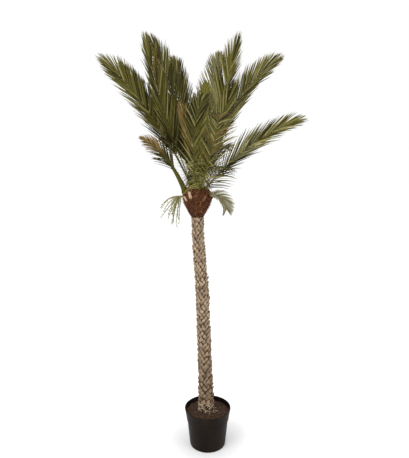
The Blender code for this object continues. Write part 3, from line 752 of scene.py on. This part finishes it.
# The radius of the cup and the height over the trunk's top.
CUP_PROFILE = (
    (0.038, 0.000), (0.054, 0.036), (0.073, 0.072), (0.087, 0.104), (0.092, 0.130), (0.087, 0.155), (0.070, 0.180),
    (0.042, 0.199), (0.000, 0.207),
)
CUP_HEART = 0.105  # over the trunk's top
CUP_REACH = 0.1  # just outside the cup's widest part
CUP_SIDES, CUP_RINGS = 96, 56
STRAND_SHAPE, STRAND_WIDTHS = ((0, 0.5), (0.25, 1.0), (0.5, 1.0), (0.75, 0.7)), (0.0012, 0.0032)


def cup_ring(share):
    """The radius and height over the trunk's top, a share of the way up the cup's side."""
    at = share * (len(CUP_PROFILE) - 1)
    low = min(int(at), len(CUP_PROFILE) - 2)
    start, end = CUP_PROFILE[low], CUP_PROFILE[low + 1]
    return mix(start[0], end[0], at - low), mix(start[1], end[1], at - low)


def cup_point(turn, share, lift=0.0):
    """A point on the fibre cup, lifted off it, and the way out from it."""
    radius, height = cup_ring(share)
    further, higher = cup_ring(min(1.0, share + 0.02))
    before, lower = cup_ring(max(0.0, share - 0.02))
    out = (polar(turn) * (higher - lower) + Vector((0, 0, before - further))).normalized()
    return trunk_middle(TRUNK_TOP) + polar(turn) * radius + Vector((0, 0, height)) + out * lift, out


def cup_tree():
    """A search tree over the solid cup, which the fronds, stubs and flower stalk stand on."""
    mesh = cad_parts["fibre_cup"].data
    return BVHTree.FromPolygons([vert.co for vert in mesh.vertices], [face.vertices for face in mesh.polygons])


def cup_seat(tree, turn, radius, height):
    """Where a line from the cup's heart meets the cup, on its way to a point with a height over the trunk's top."""
    heart = trunk_middle(TRUNK_TOP) + Vector((0, 0, CUP_HEART))
    return tree.ray_cast(heart, (polar(turn) * radius + Vector((0, 0, height - CUP_HEART))).normalized())[0]


class PALM_OT_add_fibre_head(bpy.types.Operator):
    """Wrap the head under the fronds in brown fibre"""

    bl_idname = "palm.add_fibre_head"
    bl_label = "Fibre head"

    def execute(self, context):
        settings = context.scene.palm_head
        profile = [(0, 0)] + [cup_ring(ring / CUP_RINGS) for ring in range(CUP_RINGS)] + [(0, CUP_PROFILE[-1][1])]
        bm = turned(profile, CUP_SIDES)
        for vert in bm.verts:
            radius, turn = vert.co.xy.length, math.degrees(math.atan2(vert.co.y, vert.co.x))
            if radius > 0.001:
                folds, tufts = noise_round(turn, 9, vert.co.z * 16), noise_round(turn, 26, vert.co.z * 60)
                vert.co.xy *= 1 + (0.0050 * folds + 0.0035 * tufts) / radius * ease(radius / 0.03)
            vert.co += trunk_middle(TRUNK_TOP)
        # Painted shade: the core under the strands is much darker than the fibre, for the shade in the gaps between
        # strands.
        core = hair_finish("fibre_core", shaded(settings.fibre, 0.40), 0.45)
        piece("fibre_core", bm, [core], ["fibre_cup"], 80)
        brown = hair_finish("fibre_strands", settings.fibre, 0.75)
        pale = hair_finish("fibre_pale", shaded(settings.fibre, 2.9), 0.5)
        self.wrap("fibre_strands", settings.strands, brown, 0.86, 0.0085)
        self.wrap("fibre_strands_pale", settings.strands // 4, pale, 0.9, 0.0095)
        return {"FINISHED"}

    def wrap(self, name, count, material, highest, lift):
        """Strands that climb the cup on a slant and lift off it at their ends."""
        rng = random.Random(name)
        strand = blade_mesh(name, STRAND_SHAPE, fold=0.12, thickness=0.5)
        heap = Heap()
        for _ in range(count):
            turn, share = rng.uniform(0, 360), highest * rng.random() ** 0.9
            climb, slant = rng.uniform(0.06, 0.26), rng.gauss(0, 38)
            start, out = cup_point(turn, share, rng.uniform(-0.0005, lift * 0.6))
            end, _ = cup_point(turn + slant, min(0.97, share + climb), rng.uniform(0, lift * 1.6))
            middle, _ = cup_point(turn + slant / 2, min(0.97, share + climb / 2), rng.uniform(0.0, lift))
            reach, bow = end - start, (middle - start.lerp(end, 0.5)) * 4
            along, across = (reach - bow * 0.5).normalized(), reach.cross(out).normalized()
            width = rng.uniform(*STRAND_WIDTHS)
            heap.add_blade(strand, Blade(start, along, across, reach.length, width, bow * 0.35, 0))
        piece(name, heap.bm, [material], ["fibre_cup"])


Stub = namedtuple("Stub", "node turn height length rise")
STUBS = (
    Stub("leaf_stub_front", 243, 0.136, 0.046, 62),
    Stub("leaf_stub_front_left", 218, 0.118, 0.030, 55),
    Stub("leaf_stub_front_right", 298, 0.118, 0.040, 52),
    Stub("leaf_stub_right", 10, 0.112, 0.042, 50),
    Stub("leaf_stub_back_right", 58, 0.120, 0.046, 55),
    Stub("leaf_stub_back", 104, 0.108, 0.040, 52),
    Stub("leaf_stub_back_left", 150, 0.120, 0.044, 55),
)
STUB_SIDES, STUB_ROOT_HALF, STUB_CUT_HALF = 12, 0.0125, 0.0078
STUB_RINGS = (-0.25, 0.0, 0.2, 0.5, 0.8, 0.97, 1.0)  # shares of a stub's length: it starts inside the head
FRESH_STUBS = ("leaf_stub_front", "leaf_stub_front_left")  # cut lately, and still pale


class PALM_OT_add_leaf_stubs(bpy.types.Operator):
    """Set the cut stalks of old leaves on the fibre head"""

    bl_idname = "palm.add_leaf_stubs"
    bl_label = "Cut leaf stalks"

    def execute(self, context):
        settings = context.scene.palm_head
        tree = cup_tree()
        heaps = {True: Heap(), False: Heap()}
        rng = random.Random("stubs")
        for stub in STUBS:
            place = cup_seat(tree, stub.turn, CUP_REACH, stub.height)
            along, side = polar(stub.turn, stub.rise), polar(stub.turn + 90)
            over = along.cross(side)
            rings = []
            for share in STUB_RINGS:
                half = mix(STUB_ROOT_HALF, STUB_CUT_HALF, max(0, share)) * (0.90 if share == 1.0 else 1)
                depth = half * mix(0.42, 0.66, max(0, share))
                ring = []
                for corner in range(STUB_SIDES):
                    angle = math.tau * corner / STUB_SIDES
                    wobble = 1 + 0.08 * rng.uniform(-1, 1)
                    hollow = 0.75 if math.sin(angle) > 0.5 else 1.0
                    off = side * (half * math.cos(angle)) + over * (depth * hollow * math.sin(angle))
                    ring.append(place + along * (share * stub.length) + off * wobble)
                rings.append(ring)
            heaps[stub.node in FRESH_STUBS].add(swept(rings))
        fresh = cut_finish("cut_stalk", settings.cut, (0.26, 0.14, 0.08))
        old = cut_finish("old_stalk", shaded(settings.fibre, 1.7), shaded(settings.fibre, 0.7))
        piece("cut_leaf_stalks", heaps[True].bm, [fresh], FRESH_STUBS, 40)
        old_stubs = [stub.node for stub in STUBS if stub.node not in FRESH_STUBS]
        piece("old_leaf_stalks", heaps[False].bm, [old], old_stubs, 40)
        return {"FINISHED"}


# Flower stalk

STALK_TURN, STALK_HEIGHT, STALK_RISE = 187, 0.132, 42
STALK_LENGTH, STALK_DROOP, STALK_RADIUS = 0.048, 92, 0.0062
STALK_POINTS, STRING_POINTS = 14, 16
STALK_SUNK = 0.006  # into the cup
STRING_LENGTH, STRING_RADIUS, STRING_FAN = 0.225, 0.0041, 130
BUD_SHAPE, BUD_LENGTHS, BUD_WIDTH, BUD_SAG = ((0, 0.7), (0.35, 1.0), (0.7, 0.8)), (0.009, 0.024), 0.0036, 0.004


def arching_points(start, turn, rise, droop, length, count, sway=0.0, wobble=0.0):
    """Points along a limb that sets off at a rise and sinks by a droop on its way."""
    points = [start]
    for number in range(count - 1):
        share = (number + 0.5) / (count - 1)
        zigzag = wobble * (1 if number % 2 else -1)
        points.append(points[-1] + polar(turn + sway * share + zigzag, rise - droop * share) * (length / (count - 1)))
    return points


class PALM_OT_add_flower_stalk(bpy.types.Operator):
    """Hang the strings of small flowers from their arching stalk"""

    bl_idname = "palm.add_flower_stalk"
    bl_label = "Flower stalk"

    def execute(self, context):
        settings = context.scene.palm_flower
        rng = random.Random("strings")
        start = cup_seat(cup_tree(), STALK_TURN, CUP_REACH, STALK_HEIGHT) - polar(STALK_TURN) * STALK_SUNK
        stalk = arching_points(start, STALK_TURN, STALK_RISE, STALK_DROOP, STALK_LENGTH + STALK_SUNK, STALK_POINTS)
        heap, buds = Heap(), Heap()
        heap.add(limb(stalk, thinning(STALK_RADIUS, 0.7, STALK_POINTS), 8, 0.7))
        bud = blade_mesh("bud", BUD_SHAPE, fold=0.05, thickness=0.9)
        for number in range(settings.strings):
            share = (number + 0.5) / settings.strings
            turn = STALK_TURN + STRING_FAN * (share - 0.5) + rng.uniform(-8, 8)
            root = stalk[STALK_POINTS - 1 - 2 * (number % 5)]
            length = STRING_LENGTH * rng.uniform(0.55, 0.9)
            stands = number % 4 == 0
            rise = rng.uniform(-20, 25) if stands else rng.uniform(-72, -34)
            droop = rng.uniform(50, 80) if stands else rng.uniform(4, 34)
            points = arching_points(root, turn, rise, droop, length, STRING_POINTS, rng.uniform(-35, 35), 18)
            heap.add(limb(points, thinning(STRING_RADIUS, 0.45, STRING_POINTS), 5))
            for step in range(2, STRING_POINTS):
                for _ in range(step % 2 + (step % 5 == 0)):
                    ahead = (points[step] - points[step - 1]).normalized()
                    around = Quaternion(ahead, rng.uniform(0, math.tau)) @ ahead.orthogonal().normalized()
                    along, across = (ahead * 0.9 + around).normalized(), ahead.cross(around)
                    spot, length = points[step].lerp(points[step - 1], rng.random()), rng.uniform(*BUD_LENGTHS)
                    buds.add_blade(bud, Blade(spot, along, across, length, BUD_WIDTH, Vector((0, 0, -BUD_SAG)), 0))
        green = leaf_finish("flower_string", settings.green, 0.55, 0.3)
        pale = leaf_finish("flower_bud", shaded(settings.green, 1.12), 0.6, 0.0)
        piece("flower_strings", heap.bm, [green], ["flower_stalk"])
        piece("flower_buds", buds.bm, [pale], ["flower_stalk"])
        return {"FINISHED"}


# Fronds

ROOT_RADIUS_LEVEL, ROOT_RADIUS_UPRIGHT = 0.088, 0.012
ROOT_HEIGHT_LEVEL, ROOT_HEIGHT_UPRIGHT = 0.140, 0.208
RIB_WIDTH, RIB_DEPTH, RIB_TIP_SHARE, RIB_SPIKE = 0.0095, 0.0080, 0.20, 0.045
BEND_POWER = 1.6
FULL_LENGTH = 0.92
LEAFLET_RAISE, LEAFLET_TILT = 26, 16
SPREAD_BASE, SPREAD_MIDDLE, SPREAD_TIP, SPREAD_END = 68, 26, 19, 2
MIDDLE_SHARE, TIP_SHARE = 0.32, 0.90
FULL_AT = 0.36  # of the way along the rib, where the leaflets are longest
RIB_STEPS = 44
UPRIGHT_RISE = 88  # in degrees, that puts a root at the middle of the cup's top
LEAFLET_JITTER = 0.2  # of the room between two leaflets
SPREAD_UNEVEN, RAISE_UNEVEN, TILT_UNEVEN, TWIST_UNEVEN = 2.0, 8, 17, 0.35
LENGTH_UNEVEN, WIDTH_UNEVEN, SAG_UNEVEN = (0.90, 1.04), (0.85, 1.15), (0.7, 1.3)
NARROW_SHARE, NARROW_TO, COMB_BREADTH = 0.50, 0.28, 1.15  # the lowest leaflets are narrow, and a comb's broad
LEAFLET_GAP = 0.002  # between the middle of the rib and a leaflet's root
DRY_TIPS = 0.14  # of all leaflets
SHADE_CHANGES = 0.8  # of all leaflets
SPINE_SHAPE = ((0, 1.0), (0.2, 1.0), (0.4, 0.85), (0.6, 0.7), (0.8, 0.45))
SPINE_LENGTHS, SPINE_WIDTH, SPINE_RAISE, SPINE_RAISE_UNEVEN = (0.025, 0.070), 0.0036, 25, 12

# A frond's node on the part, the turn and rise it leaves the cup with, the length and droop of its rib, how far the
# rib sways aside and rolls over, the leaflets' kind, the bare share of the rib and how far the leaflets spread. Then
# what sets a few apart: the rise that places the root on the cup, the length of the lowest and the last leaflets and
# how many there are, one angle for them all, the share of the spread and the raise on each side, where they turn tan,
# how broad the stalk is, how long, limp and gathered to the root they are, whether light reaches the lowest ones, and
# how far up they are longest.
Frond = namedtuple(
    "Frond",
    "node turn rise length droop sway roll kind bare sweep "
    "seat skirt tip count comb sides lifts tanned stout reach limp gather lit full",
    defaults=(None, 0.30, 0.74, 1.0, None, (1, 1), (LEAFLET_RAISE, LEAFLET_RAISE), 2, 1, 1, 0.16, 1, False, FULL_AT)
)
FRONDS = (
    Frond(
        "frond_left_high", 178, 63.5, 0.87, 19, -8, -46, "olive", 0.27, 1.3,
        skirt=0.14, tip=0.78, sides=(0.72, 1.0), lifts=(2, 26), full=0.46
    ),
    Frond("frond_left_back", 154, 61.5, 0.825, 10, 6, -45, "sheen_and_shade", 0.28, 1.0),
    Frond("frond_left_tall", 197, 67.0, 0.82, -11, -4, -62, "olive", 0.29, 1.0, sides=(0.66, 1.0), lifts=(8, 26)),
    Frond("frond_back_left_tall", 113, 71, 0.925, 24, -5, -15, "dark", 0.20, 1.0),
    Frond("frond_left_tall_back", 144, 76, 0.925, 16, -6, -30, "dark", 0.22, 1.1),
    Frond("frond_young", 274, 69, 0.635, 36, 5, 0, "young", 0.08, 0.55, lit=True),
    Frond("frond_back_right_tall", 68.5, 72, 0.975, 24, 7, 12, "grey", 0.10, 1.05, tip=0.6, sides=(1.35, 0.9)),
    Frond("frond_right_tall", 336, 74.8, 0.79, 2, -6, -42, "olive", 0.12, 1.2, sides=(0.8, 1.0)),
    Frond("frond_right_blunt", 305, 66, 0.60, 14, 0, -32, "olive", 0.06, 1.0, tip=0.62, sides=(0.7, 1.0)),
    Frond(
        "frond_right_high", 6, 73, 0.885, 34, 16, 44, "sunny", 0.34, 1.3,
        skirt=0.06, sides=(0.78, 0.64), lifts=(26, 6), full=0.52
    ),
    Frond("frond_right_low", 350, 47.8, 0.65, 25, 16, 72, "sunny", 0.12, 0.8, sides=(1.16, 0.78), lifts=(26, 4)),
    Frond(
        "frond_right_hanging", 332, -2, 0.178, 88, -8, 40, "wan", 0.04, 1.0,
        seat=16, skirt=0.7, tip=0.5, count=1.5, comb=36, reach=0.64, limp=0.30, lit=True
    ),
    Frond(
        "frond_front_right", 289, 44, 0.74, 28, -18, 0, "tinted", 0.12, 1.15,
        skirt=0.62, tip=0.42, count=0.86, sides=(2.2, 1.0), reach=0.9, gather=0.78, limp=0.30, lit=True
    ),
    Frond(
        "frond_front_middle", 262, 55, 0.69, 31, 22, 0, "shady", 0.13, 1.05,
        skirt=0.62, count=0.80, gather=0.72, limp=0.34, lit=True
    ),
    Frond(
        "frond_left_low", 189, 66, 0.41, 34, 4, -60, "dark", 0.38, 0.95,
        seat=24, skirt=0.40, tip=0.34, tanned=0.64, stout=4.8, sides=(1.8, 1.1), limp=0.3
    ),
    Frond(
        "frond_front_short", 280, 80, 0.20, 8, 6, 0, "bright", 0.06, 1.0,
        seat=34, skirt=1.0, tip=0.8, count=0.62, comb=92, reach=0.76, limp=0.7, lit=True
    ),
    Frond("frond_back_right_steep", 48, 68, 0.56, 28, 6, 20, "dark", 0.14, 1.0),
    Frond("frond_back_left_steep", 129, 65, 0.68, 28, -10, -30, "dark", 0.24, 1.0),
    Frond("frond_back_right", 66, 46, 0.65, 52, 8, 10, "grey", 0.06, 1.0),
    Frond("frond_back_left", 112, 48, 0.65, 50, -8, -10, "grey", 0.40, 1.0),
    Frond("frond_back_middle", 90, 56, 0.75, 48, 0, 0, "olive", 0.06, 1.0),
    Frond("frond_back_low", 92, 26, 0.48, 66, 10, 0, "olive", 0.08, 1.0, reach=0.7),
    Frond("frond_heart", 238, 76, 0.42, 12, 6, 0, "russet", 0.10, 0.8),
    Frond(
        "frond_right_base", 320, 66, 0.17, 8, 0, -52, "dark", 0.08, 1.0,
        seat=34, skirt=1.0, tip=0.8, count=0.78, comb=66, reach=1.12, limp=0.3
    ),
)

SHADED_TO = 0.40  # of the way along a frond, where its leaflets come out of the shade
# How many leaflets in a hundred of each kind take each shade.
# Pale is older leaflets and painted light, deep is painted shade, both on the olive; the sunny kind leans to painted
# light, the shady and shaded kinds to painted shade, and the bright kind sets painted light against painted shade.
SHADES = {
    "olive": {"olive": 56, "pale": 17, "deep": 26, "brown": 1},
    # Painted shade: the dark kind is for the fronds behind and deep in the crown.
    "dark": {"dark": 54, "deep": 24, "olive": 12, "pale": 9, "brown": 1},
    "sunny": {"olive": 40, "pale": 28, "deep": 18, "grey": 14},
    "russet": {"brown": 58, "tan": 12, "olive": 30},
    "shady": {"olive": 42, "deep": 34, "pale": 18, "dark": 6},
    # Painted sheen and painted shade: grey for the sheen, dark and deep for the shade.
    "sheen_and_shade": {"grey": 34, "dark": 32, "deep": 22, "olive": 12},
    "grey": {"grey": 66, "pale": 16, "olive": 18},
    "young": {"young": 72, "pale": 10, "olive": 18},
    "tinted": {"olive": 44, "brown": 20, "pale": 16, "deep": 20},
    "tanned": {"brown": 50, "tan": 34, "olive": 16},
    "shaded": {"deep": 56, "dark": 22, "olive": 8, "grey": 14},
    "bright": {"pale": 40, "olive": 16, "young": 8, "deep": 36},
    "wan": {"wan": 52, "grey": 48},
}
SHADE_SLOTS = {
    "olive": "leaf_olive", "pale": "leaf_olive", "deep": "leaf_olive", "brown": "leaf_olive", "dark": "leaf_dark",
    "grey": "leaf_grey", "young": "leaf_young", "tan": "leaf_olive", "wan": "leaf_grey",
}

Place = namedtuple("Place", "point along side up share")


def frond_places(frond, tree):
    """Places along a frond's rib: the point, the way along it, its right-hand side and its upper face."""
    upright = min(1.0, max(0.0, (frond.rise if frond.seat is None else frond.seat) / UPRIGHT_RISE))
    radius = mix(ROOT_RADIUS_LEVEL, ROOT_RADIUS_UPRIGHT, upright)
    point = cup_seat(tree, frond.turn, radius, mix(ROOT_HEIGHT_LEVEL, ROOT_HEIGHT_UPRIGHT, upright))
    places = []
    for number in range(RIB_STEPS + 1):
        share = number / RIB_STEPS
        turn, rise = frond.turn + frond.sway * share, frond.rise - frond.droop * share**BEND_POWER
        along = polar(turn, rise)
        up = Quaternion(along, math.radians(frond.roll)) @ polar(turn, rise + 90)
        places.append(Place(point.copy(), along, along.cross(up), up, share))
        middle = share + 0.5 / RIB_STEPS
        ahead = polar(frond.turn + frond.sway * middle, frond.rise - frond.droop * middle**BEND_POWER)
        point += ahead * (frond.length / RIB_STEPS)
    return places


def place_at(places, share):
    """The place a share of the way along a rib."""
    at = share * RIB_STEPS
    low = min(int(at), RIB_STEPS - 1)
    start, end, part = places[low], places[low + 1], at - low
    return Place(
        start.point.lerp(end.point, part), start.along.lerp(end.along, part).normalized(),
        start.side.lerp(end.side, part).normalized(), start.up.lerp(end.up, part).normalized(), share
    )


def sideways(place, hand, rise):
    """The way out to a rib's left (-1) or right (1), raised to its upper face."""
    return hand * place.side * math.cos(rise) + place.up * math.sin(rise)


def length_factor(frond, least):
    """A factor that grows with the length of a frond, up to 1 for a full one."""
    return mix(least, 1.0, min(1.0, frond.length / FULL_LENGTH))


def leaflet_spread(share):
    """The angle between a leaflet and the rib, in degrees: widest at the frond's root."""
    if share < MIDDLE_SHARE:
        return mix(SPREAD_BASE, SPREAD_MIDDLE, ease(share / MIDDLE_SHARE))
    if share < TIP_SHARE:
        return mix(SPREAD_MIDDLE, SPREAD_TIP, (share - MIDDLE_SHARE) / (TIP_SHARE - MIDDLE_SHARE))
    return mix(SPREAD_TIP, SPREAD_END, (share - TIP_SHARE) / (1 - TIP_SHARE))


def leaflet_length(frond, share, full):
    """The length of a leaflet, from that of the longest ones on a full frond."""
    if share < frond.full:
        swell = mix(frond.skirt, 1.0, ease(share / frond.full))
    else:
        swell = mix(1.0, frond.tip, (share - frond.full) / (1 - frond.full))
    return full * swell * frond.reach * length_factor(frond, 0.60)


def leaflet_blade(frond, places, share, hand, rng, settings):
    """One leaflet, a share of the way along the leafy part of a rib, on its left (-1) or right (1)."""
    place = place_at(places, share)
    spread = (frond.comb or leaflet_spread(share)) * frond.sweep * frond.sides[hand > 0]
    spread = math.radians(spread + rng.gauss(0, SPREAD_UNEVEN))
    outward = sideways(place, hand, math.radians(frond.lifts[hand > 0] + rng.gauss(0, RAISE_UNEVEN)))
    along = (place.along * math.cos(spread) + outward * math.sin(spread)).normalized()
    across = (place.along - along * place.along.dot(along)).normalized()
    across = Quaternion(along, hand * math.radians(LEAFLET_TILT + rng.gauss(0, TILT_UNEVEN))) @ across
    length = leaflet_length(frond, share, settings.length) * rng.uniform(*LENGTH_UNEVEN)
    sag = Vector((0, 0, -frond.limp * length * (1 - abs(along.z)) * rng.uniform(*SAG_UNEVEN)))
    width = settings.width * rng.uniform(*WIDTH_UNEVEN) * length_factor(frond, 0.75)
    width *= mix(NARROW_SHARE, 1.0, ease(share / NARROW_TO)) if frond.comb is None else COMB_BREADTH
    root = place.point + outward * LEAFLET_GAP
    return Blade(root, along, across * hand, length, width, sag, rng.gauss(0, TWIST_UNEVEN))


def rib_limb(places, stout):
    """The rib of a frond: a broad stalk at its root, ridged above, and thin at its tip."""
    corners = ((1, 0.1), (0.45, 0.8), (0, 1), (-0.45, 0.8), (-1, 0.1), (-0.6, -0.8), (0, -1), (0.6, -0.8))
    rings = []
    for place in places:
        size = mix(stout, RIB_TIP_SHARE, place.share**0.8)
        half = RIB_WIDTH * size / 2 * (1 + 0.5 * (1 - ease(place.share / 0.07)))
        depth = RIB_DEPTH * size / 2
        rings.append([place.point + place.side * (half * x) + place.up * (depth * y) for x, y in corners])
    return swept(rings, places[-1].point + places[-1].along * RIB_SPIKE)


class PALM_OT_add_fronds(bpy.types.Operator):
    """Grow the ribs of all the fronds, the leaflets on them and the spines at their roots"""

    bl_idname = "palm.add_fronds"
    bl_label = "Fronds"

    def execute(self, context):
        settings = context.scene.palm_frond
        tree = cup_tree()
        fresh, withered = blade_mesh("fresh_leaflet"), blade_mesh("withered_leaflet", withered_from=WITHERED_FROM)
        ribs, spines = Heap(), Heap()
        heaps = {shade: Heap() for shade in SHADE_SLOTS}
        holders = {shade: set() for shade in SHADE_SLOTS}
        for frond in FRONDS:
            rng = random.Random(frond.node)
            places = frond_places(frond, tree)
            ribs.add(rib_limb(places, frond.stout))
            pairs = round(settings.pairs * (frond.length / FULL_LENGTH) ** 0.75 * frond.count)
            for number in range(2 * pairs):
                jitter = rng.uniform(-LEAFLET_JITTER, LEAFLET_JITTER)
                along_rib = min(1.0, max(0.0, (number + jitter) / (2 * pairs - 1)))
                share = mix(frond.bare, 1.0, 1 - (1 - along_rib**frond.gather) ** 1.5)
                shades, weights = zip(*SHADES[self.kind_at(frond, share)].items())
                if number == 0 or rng.random() < SHADE_CHANGES:
                    shade = rng.choices(shades, weights)[0]
                blade = leaflet_blade(frond, places, share, 1 if number % 2 else -1, rng, settings)
                heaps[shade].add_blade(fresh if rng.random() > DRY_TIPS else withered, blade)
                holders[shade].add(frond.node)
            self.add_spines(spines, frond, places, rng)
        nodes = [frond.node for frond in FRONDS]
        tip = leaf_finish("leaf_dry_tip", settings.tip, 0.6)
        for shade, heap in heaps.items():
            leaf = leaf_finish("leaf_" + shade, getattr(settings, shade))
            piece("leaflets_" + shade, heap.bm, [leaf, tip], sorted(holders[shade]), 35)
        rib = leaf_finish("leaf_rib", shaded(settings.olive, 0.75), 0.5, 0.5)
        piece("frond_ribs", ribs.bm, [rib], nodes, 50)
        spine = leaf_finish("leaf_spine", shaded(settings.pale, 1.15), 0.5)
        piece("frond_spines", spines.bm, [spine], nodes)
        return {"FINISHED"}

    def kind_at(self, frond, share):
        """The kind of the leaflets a share of the way along a frond's rib."""
        if share > frond.tanned:
            return "tanned"
        # Painted shade: the lowest leaflets of a frond that is not lit take the shaded kind.
        return "shaded" if share < SHADED_TO and not frond.lit else frond.kind

    def add_spines(self, heap, frond, places, rng):
        """Stiff spines on the bare part of a rib, where leaflets never opened."""
        spine = blade_mesh("spine", SPINE_SHAPE, fold=0.12, thickness=0.4)
        count = 16 + round(60 * frond.bare)
        for number in range(count):
            place = place_at(places, mix(0.02, frond.bare + 0.05, (number + rng.random()) / count))
            rise = math.radians(SPINE_RAISE + rng.gauss(0, SPINE_RAISE_UNEVEN))
            outward = sideways(place, 1 if number % 2 else -1, rise)
            along = (place.along * rng.uniform(0.35, 0.8) + outward).normalized()
            length = mix(*SPINE_LENGTHS, rng.random()) * length_factor(frond, 0.45)
            sag = Vector((0, 0, -rng.uniform(0.1, 0.45) * length))
            across = along.cross(outward).normalized()
            heap.add_blade(spine, Blade(place.point, along, across, length, SPINE_WIDTH, sag, 0))


# Stage


FLOOR_SIZE = 30
KEY_SIZE, KEY_PLACE, KEY_AIM = 2.8, (-2.4, -2.6, 4.2), (0, 0, 1.3)
FILL_SIZE, FILL_PLACE, FILL_AIM = 2.2, (2.8, -2.0, 2.6), (0, 0, 1.2)
SENSOR_WIDTH, CLIP_END = 36, 100


def soft_light(name, watts, size, where, aim):
    lamp = bpy.data.lights.new(name, "AREA")
    lamp.energy, lamp.size = watts, size
    made = add_object(name, lamp)
    made.location = where
    made.rotation_euler = (Vector(aim) - Vector(where)).to_track_quat("-Z", "Y").to_euler()


class PALM_OT_add_stage(bpy.types.Operator):
    """Lay the pale floor and place the soft lights and the camera"""

    bl_idname = "palm.add_stage"
    bl_label = "Stage"

    def execute(self, context):
        settings = context.scene.palm_stage
        scene = context.scene
        scene.view_settings.view_transform = "Standard"
        bm = bmesh.new()
        bmesh.ops.create_grid(bm, x_segments=2, y_segments=2, size=FLOOR_SIZE)
        floor = add_object("floor", to_mesh("floor", bm))
        # Painted light: the floor glows, not at all under the pot and fully from half a metre out, so it shows white
        # and the key's shadow fades.
        paper = Finish("floor_paper", Specular_IOR_Level=0.1, Emission_Strength=0.20)
        grain = paper.grain(paper.place(), 40, 3)
        away = paper.node("ShaderNodeVectorMath", {"operation": "LENGTH"}, {0: paper.place()}, "Value")
        paper.feed(paper.shader.inputs["Emission Color"], paper.mix(paper.step(away, 0.13, 0.50), (0, 0, 0), (1, 1, 1)))
        floor.data.materials.append(paper.finish(paper.mix(grain * 0.05, settings.floor, (1, 1, 1)), 0.9))
        scene.world = bpy.data.worlds.new("soft studio")
        scene.world.use_nodes = True
        sky = scene.world.node_tree.nodes["Background"]
        sky.inputs["Color"].default_value = (1, 1, 1, 1)
        sky.inputs["Strength"].default_value = 1.0
        soft_light("key", settings.key, KEY_SIZE, KEY_PLACE, KEY_AIM)
        soft_light("fill", settings.fill, FILL_SIZE, FILL_PLACE, FILL_AIM)
        camera = bpy.data.cameras.new("camera")
        camera.lens, camera.sensor_width, camera.clip_end = settings.lens, SENSOR_WIDTH, CLIP_END
        scene.camera = add_object("camera", camera)
        scene.camera.location = settings.camera
        scene.camera.rotation_euler = (math.pi / 2 - settings.pitch, 0, 0)
        return {"FINISHED"}


# Panel and registration

OPERATORS = (
    PALM_OT_add_pot,
    PALM_OT_add_compost,
    PALM_OT_add_trunk,
    PALM_OT_add_roots,
    PALM_OT_add_fibre_head,
    PALM_OT_add_leaf_stubs,
    PALM_OT_add_flower_stalk,
    PALM_OT_add_fronds,
    PALM_OT_add_stage,
)


class PALM_PT_potted_palm(bpy.types.Panel):
    """The palm's pieces and their settings"""

    bl_idname = "PALM_PT_potted_palm"
    bl_label = "Potted pygmy date palm"
    bl_space_type = "VIEW_3D"
    bl_region_type = "UI"
    bl_category = "Palm"

    def draw(self, context):
        for operator in OPERATORS:
            self.layout.operator(operator.bl_idname)
        for name, _ in SETTINGS:
            box = self.layout.box()
            group = getattr(context.scene, name)
            for key in group.bl_rna.properties.keys():
                if key not in ("rna_type", "name"):
                    box.prop(group, key)


CLASSES = tuple(group for _, group in SETTINGS) + OPERATORS + (PALM_PT_potted_palm,)


def register():
    for item in CLASSES:
        bpy.utils.register_class(item)
    for name, group in SETTINGS:
        setattr(bpy.types.Scene, name, bpy.props.PointerProperty(type=group))


def unregister():
    for name, _ in SETTINGS:
        delattr(bpy.types.Scene, name)
    for item in reversed(CLASSES):
        bpy.utils.unregister_class(item)


def main():
    register()
    for operator in OPERATORS:
        getattr(bpy.ops.palm, operator.bl_idname.split(".")[1])()


if __name__ == "__main__":
    main()
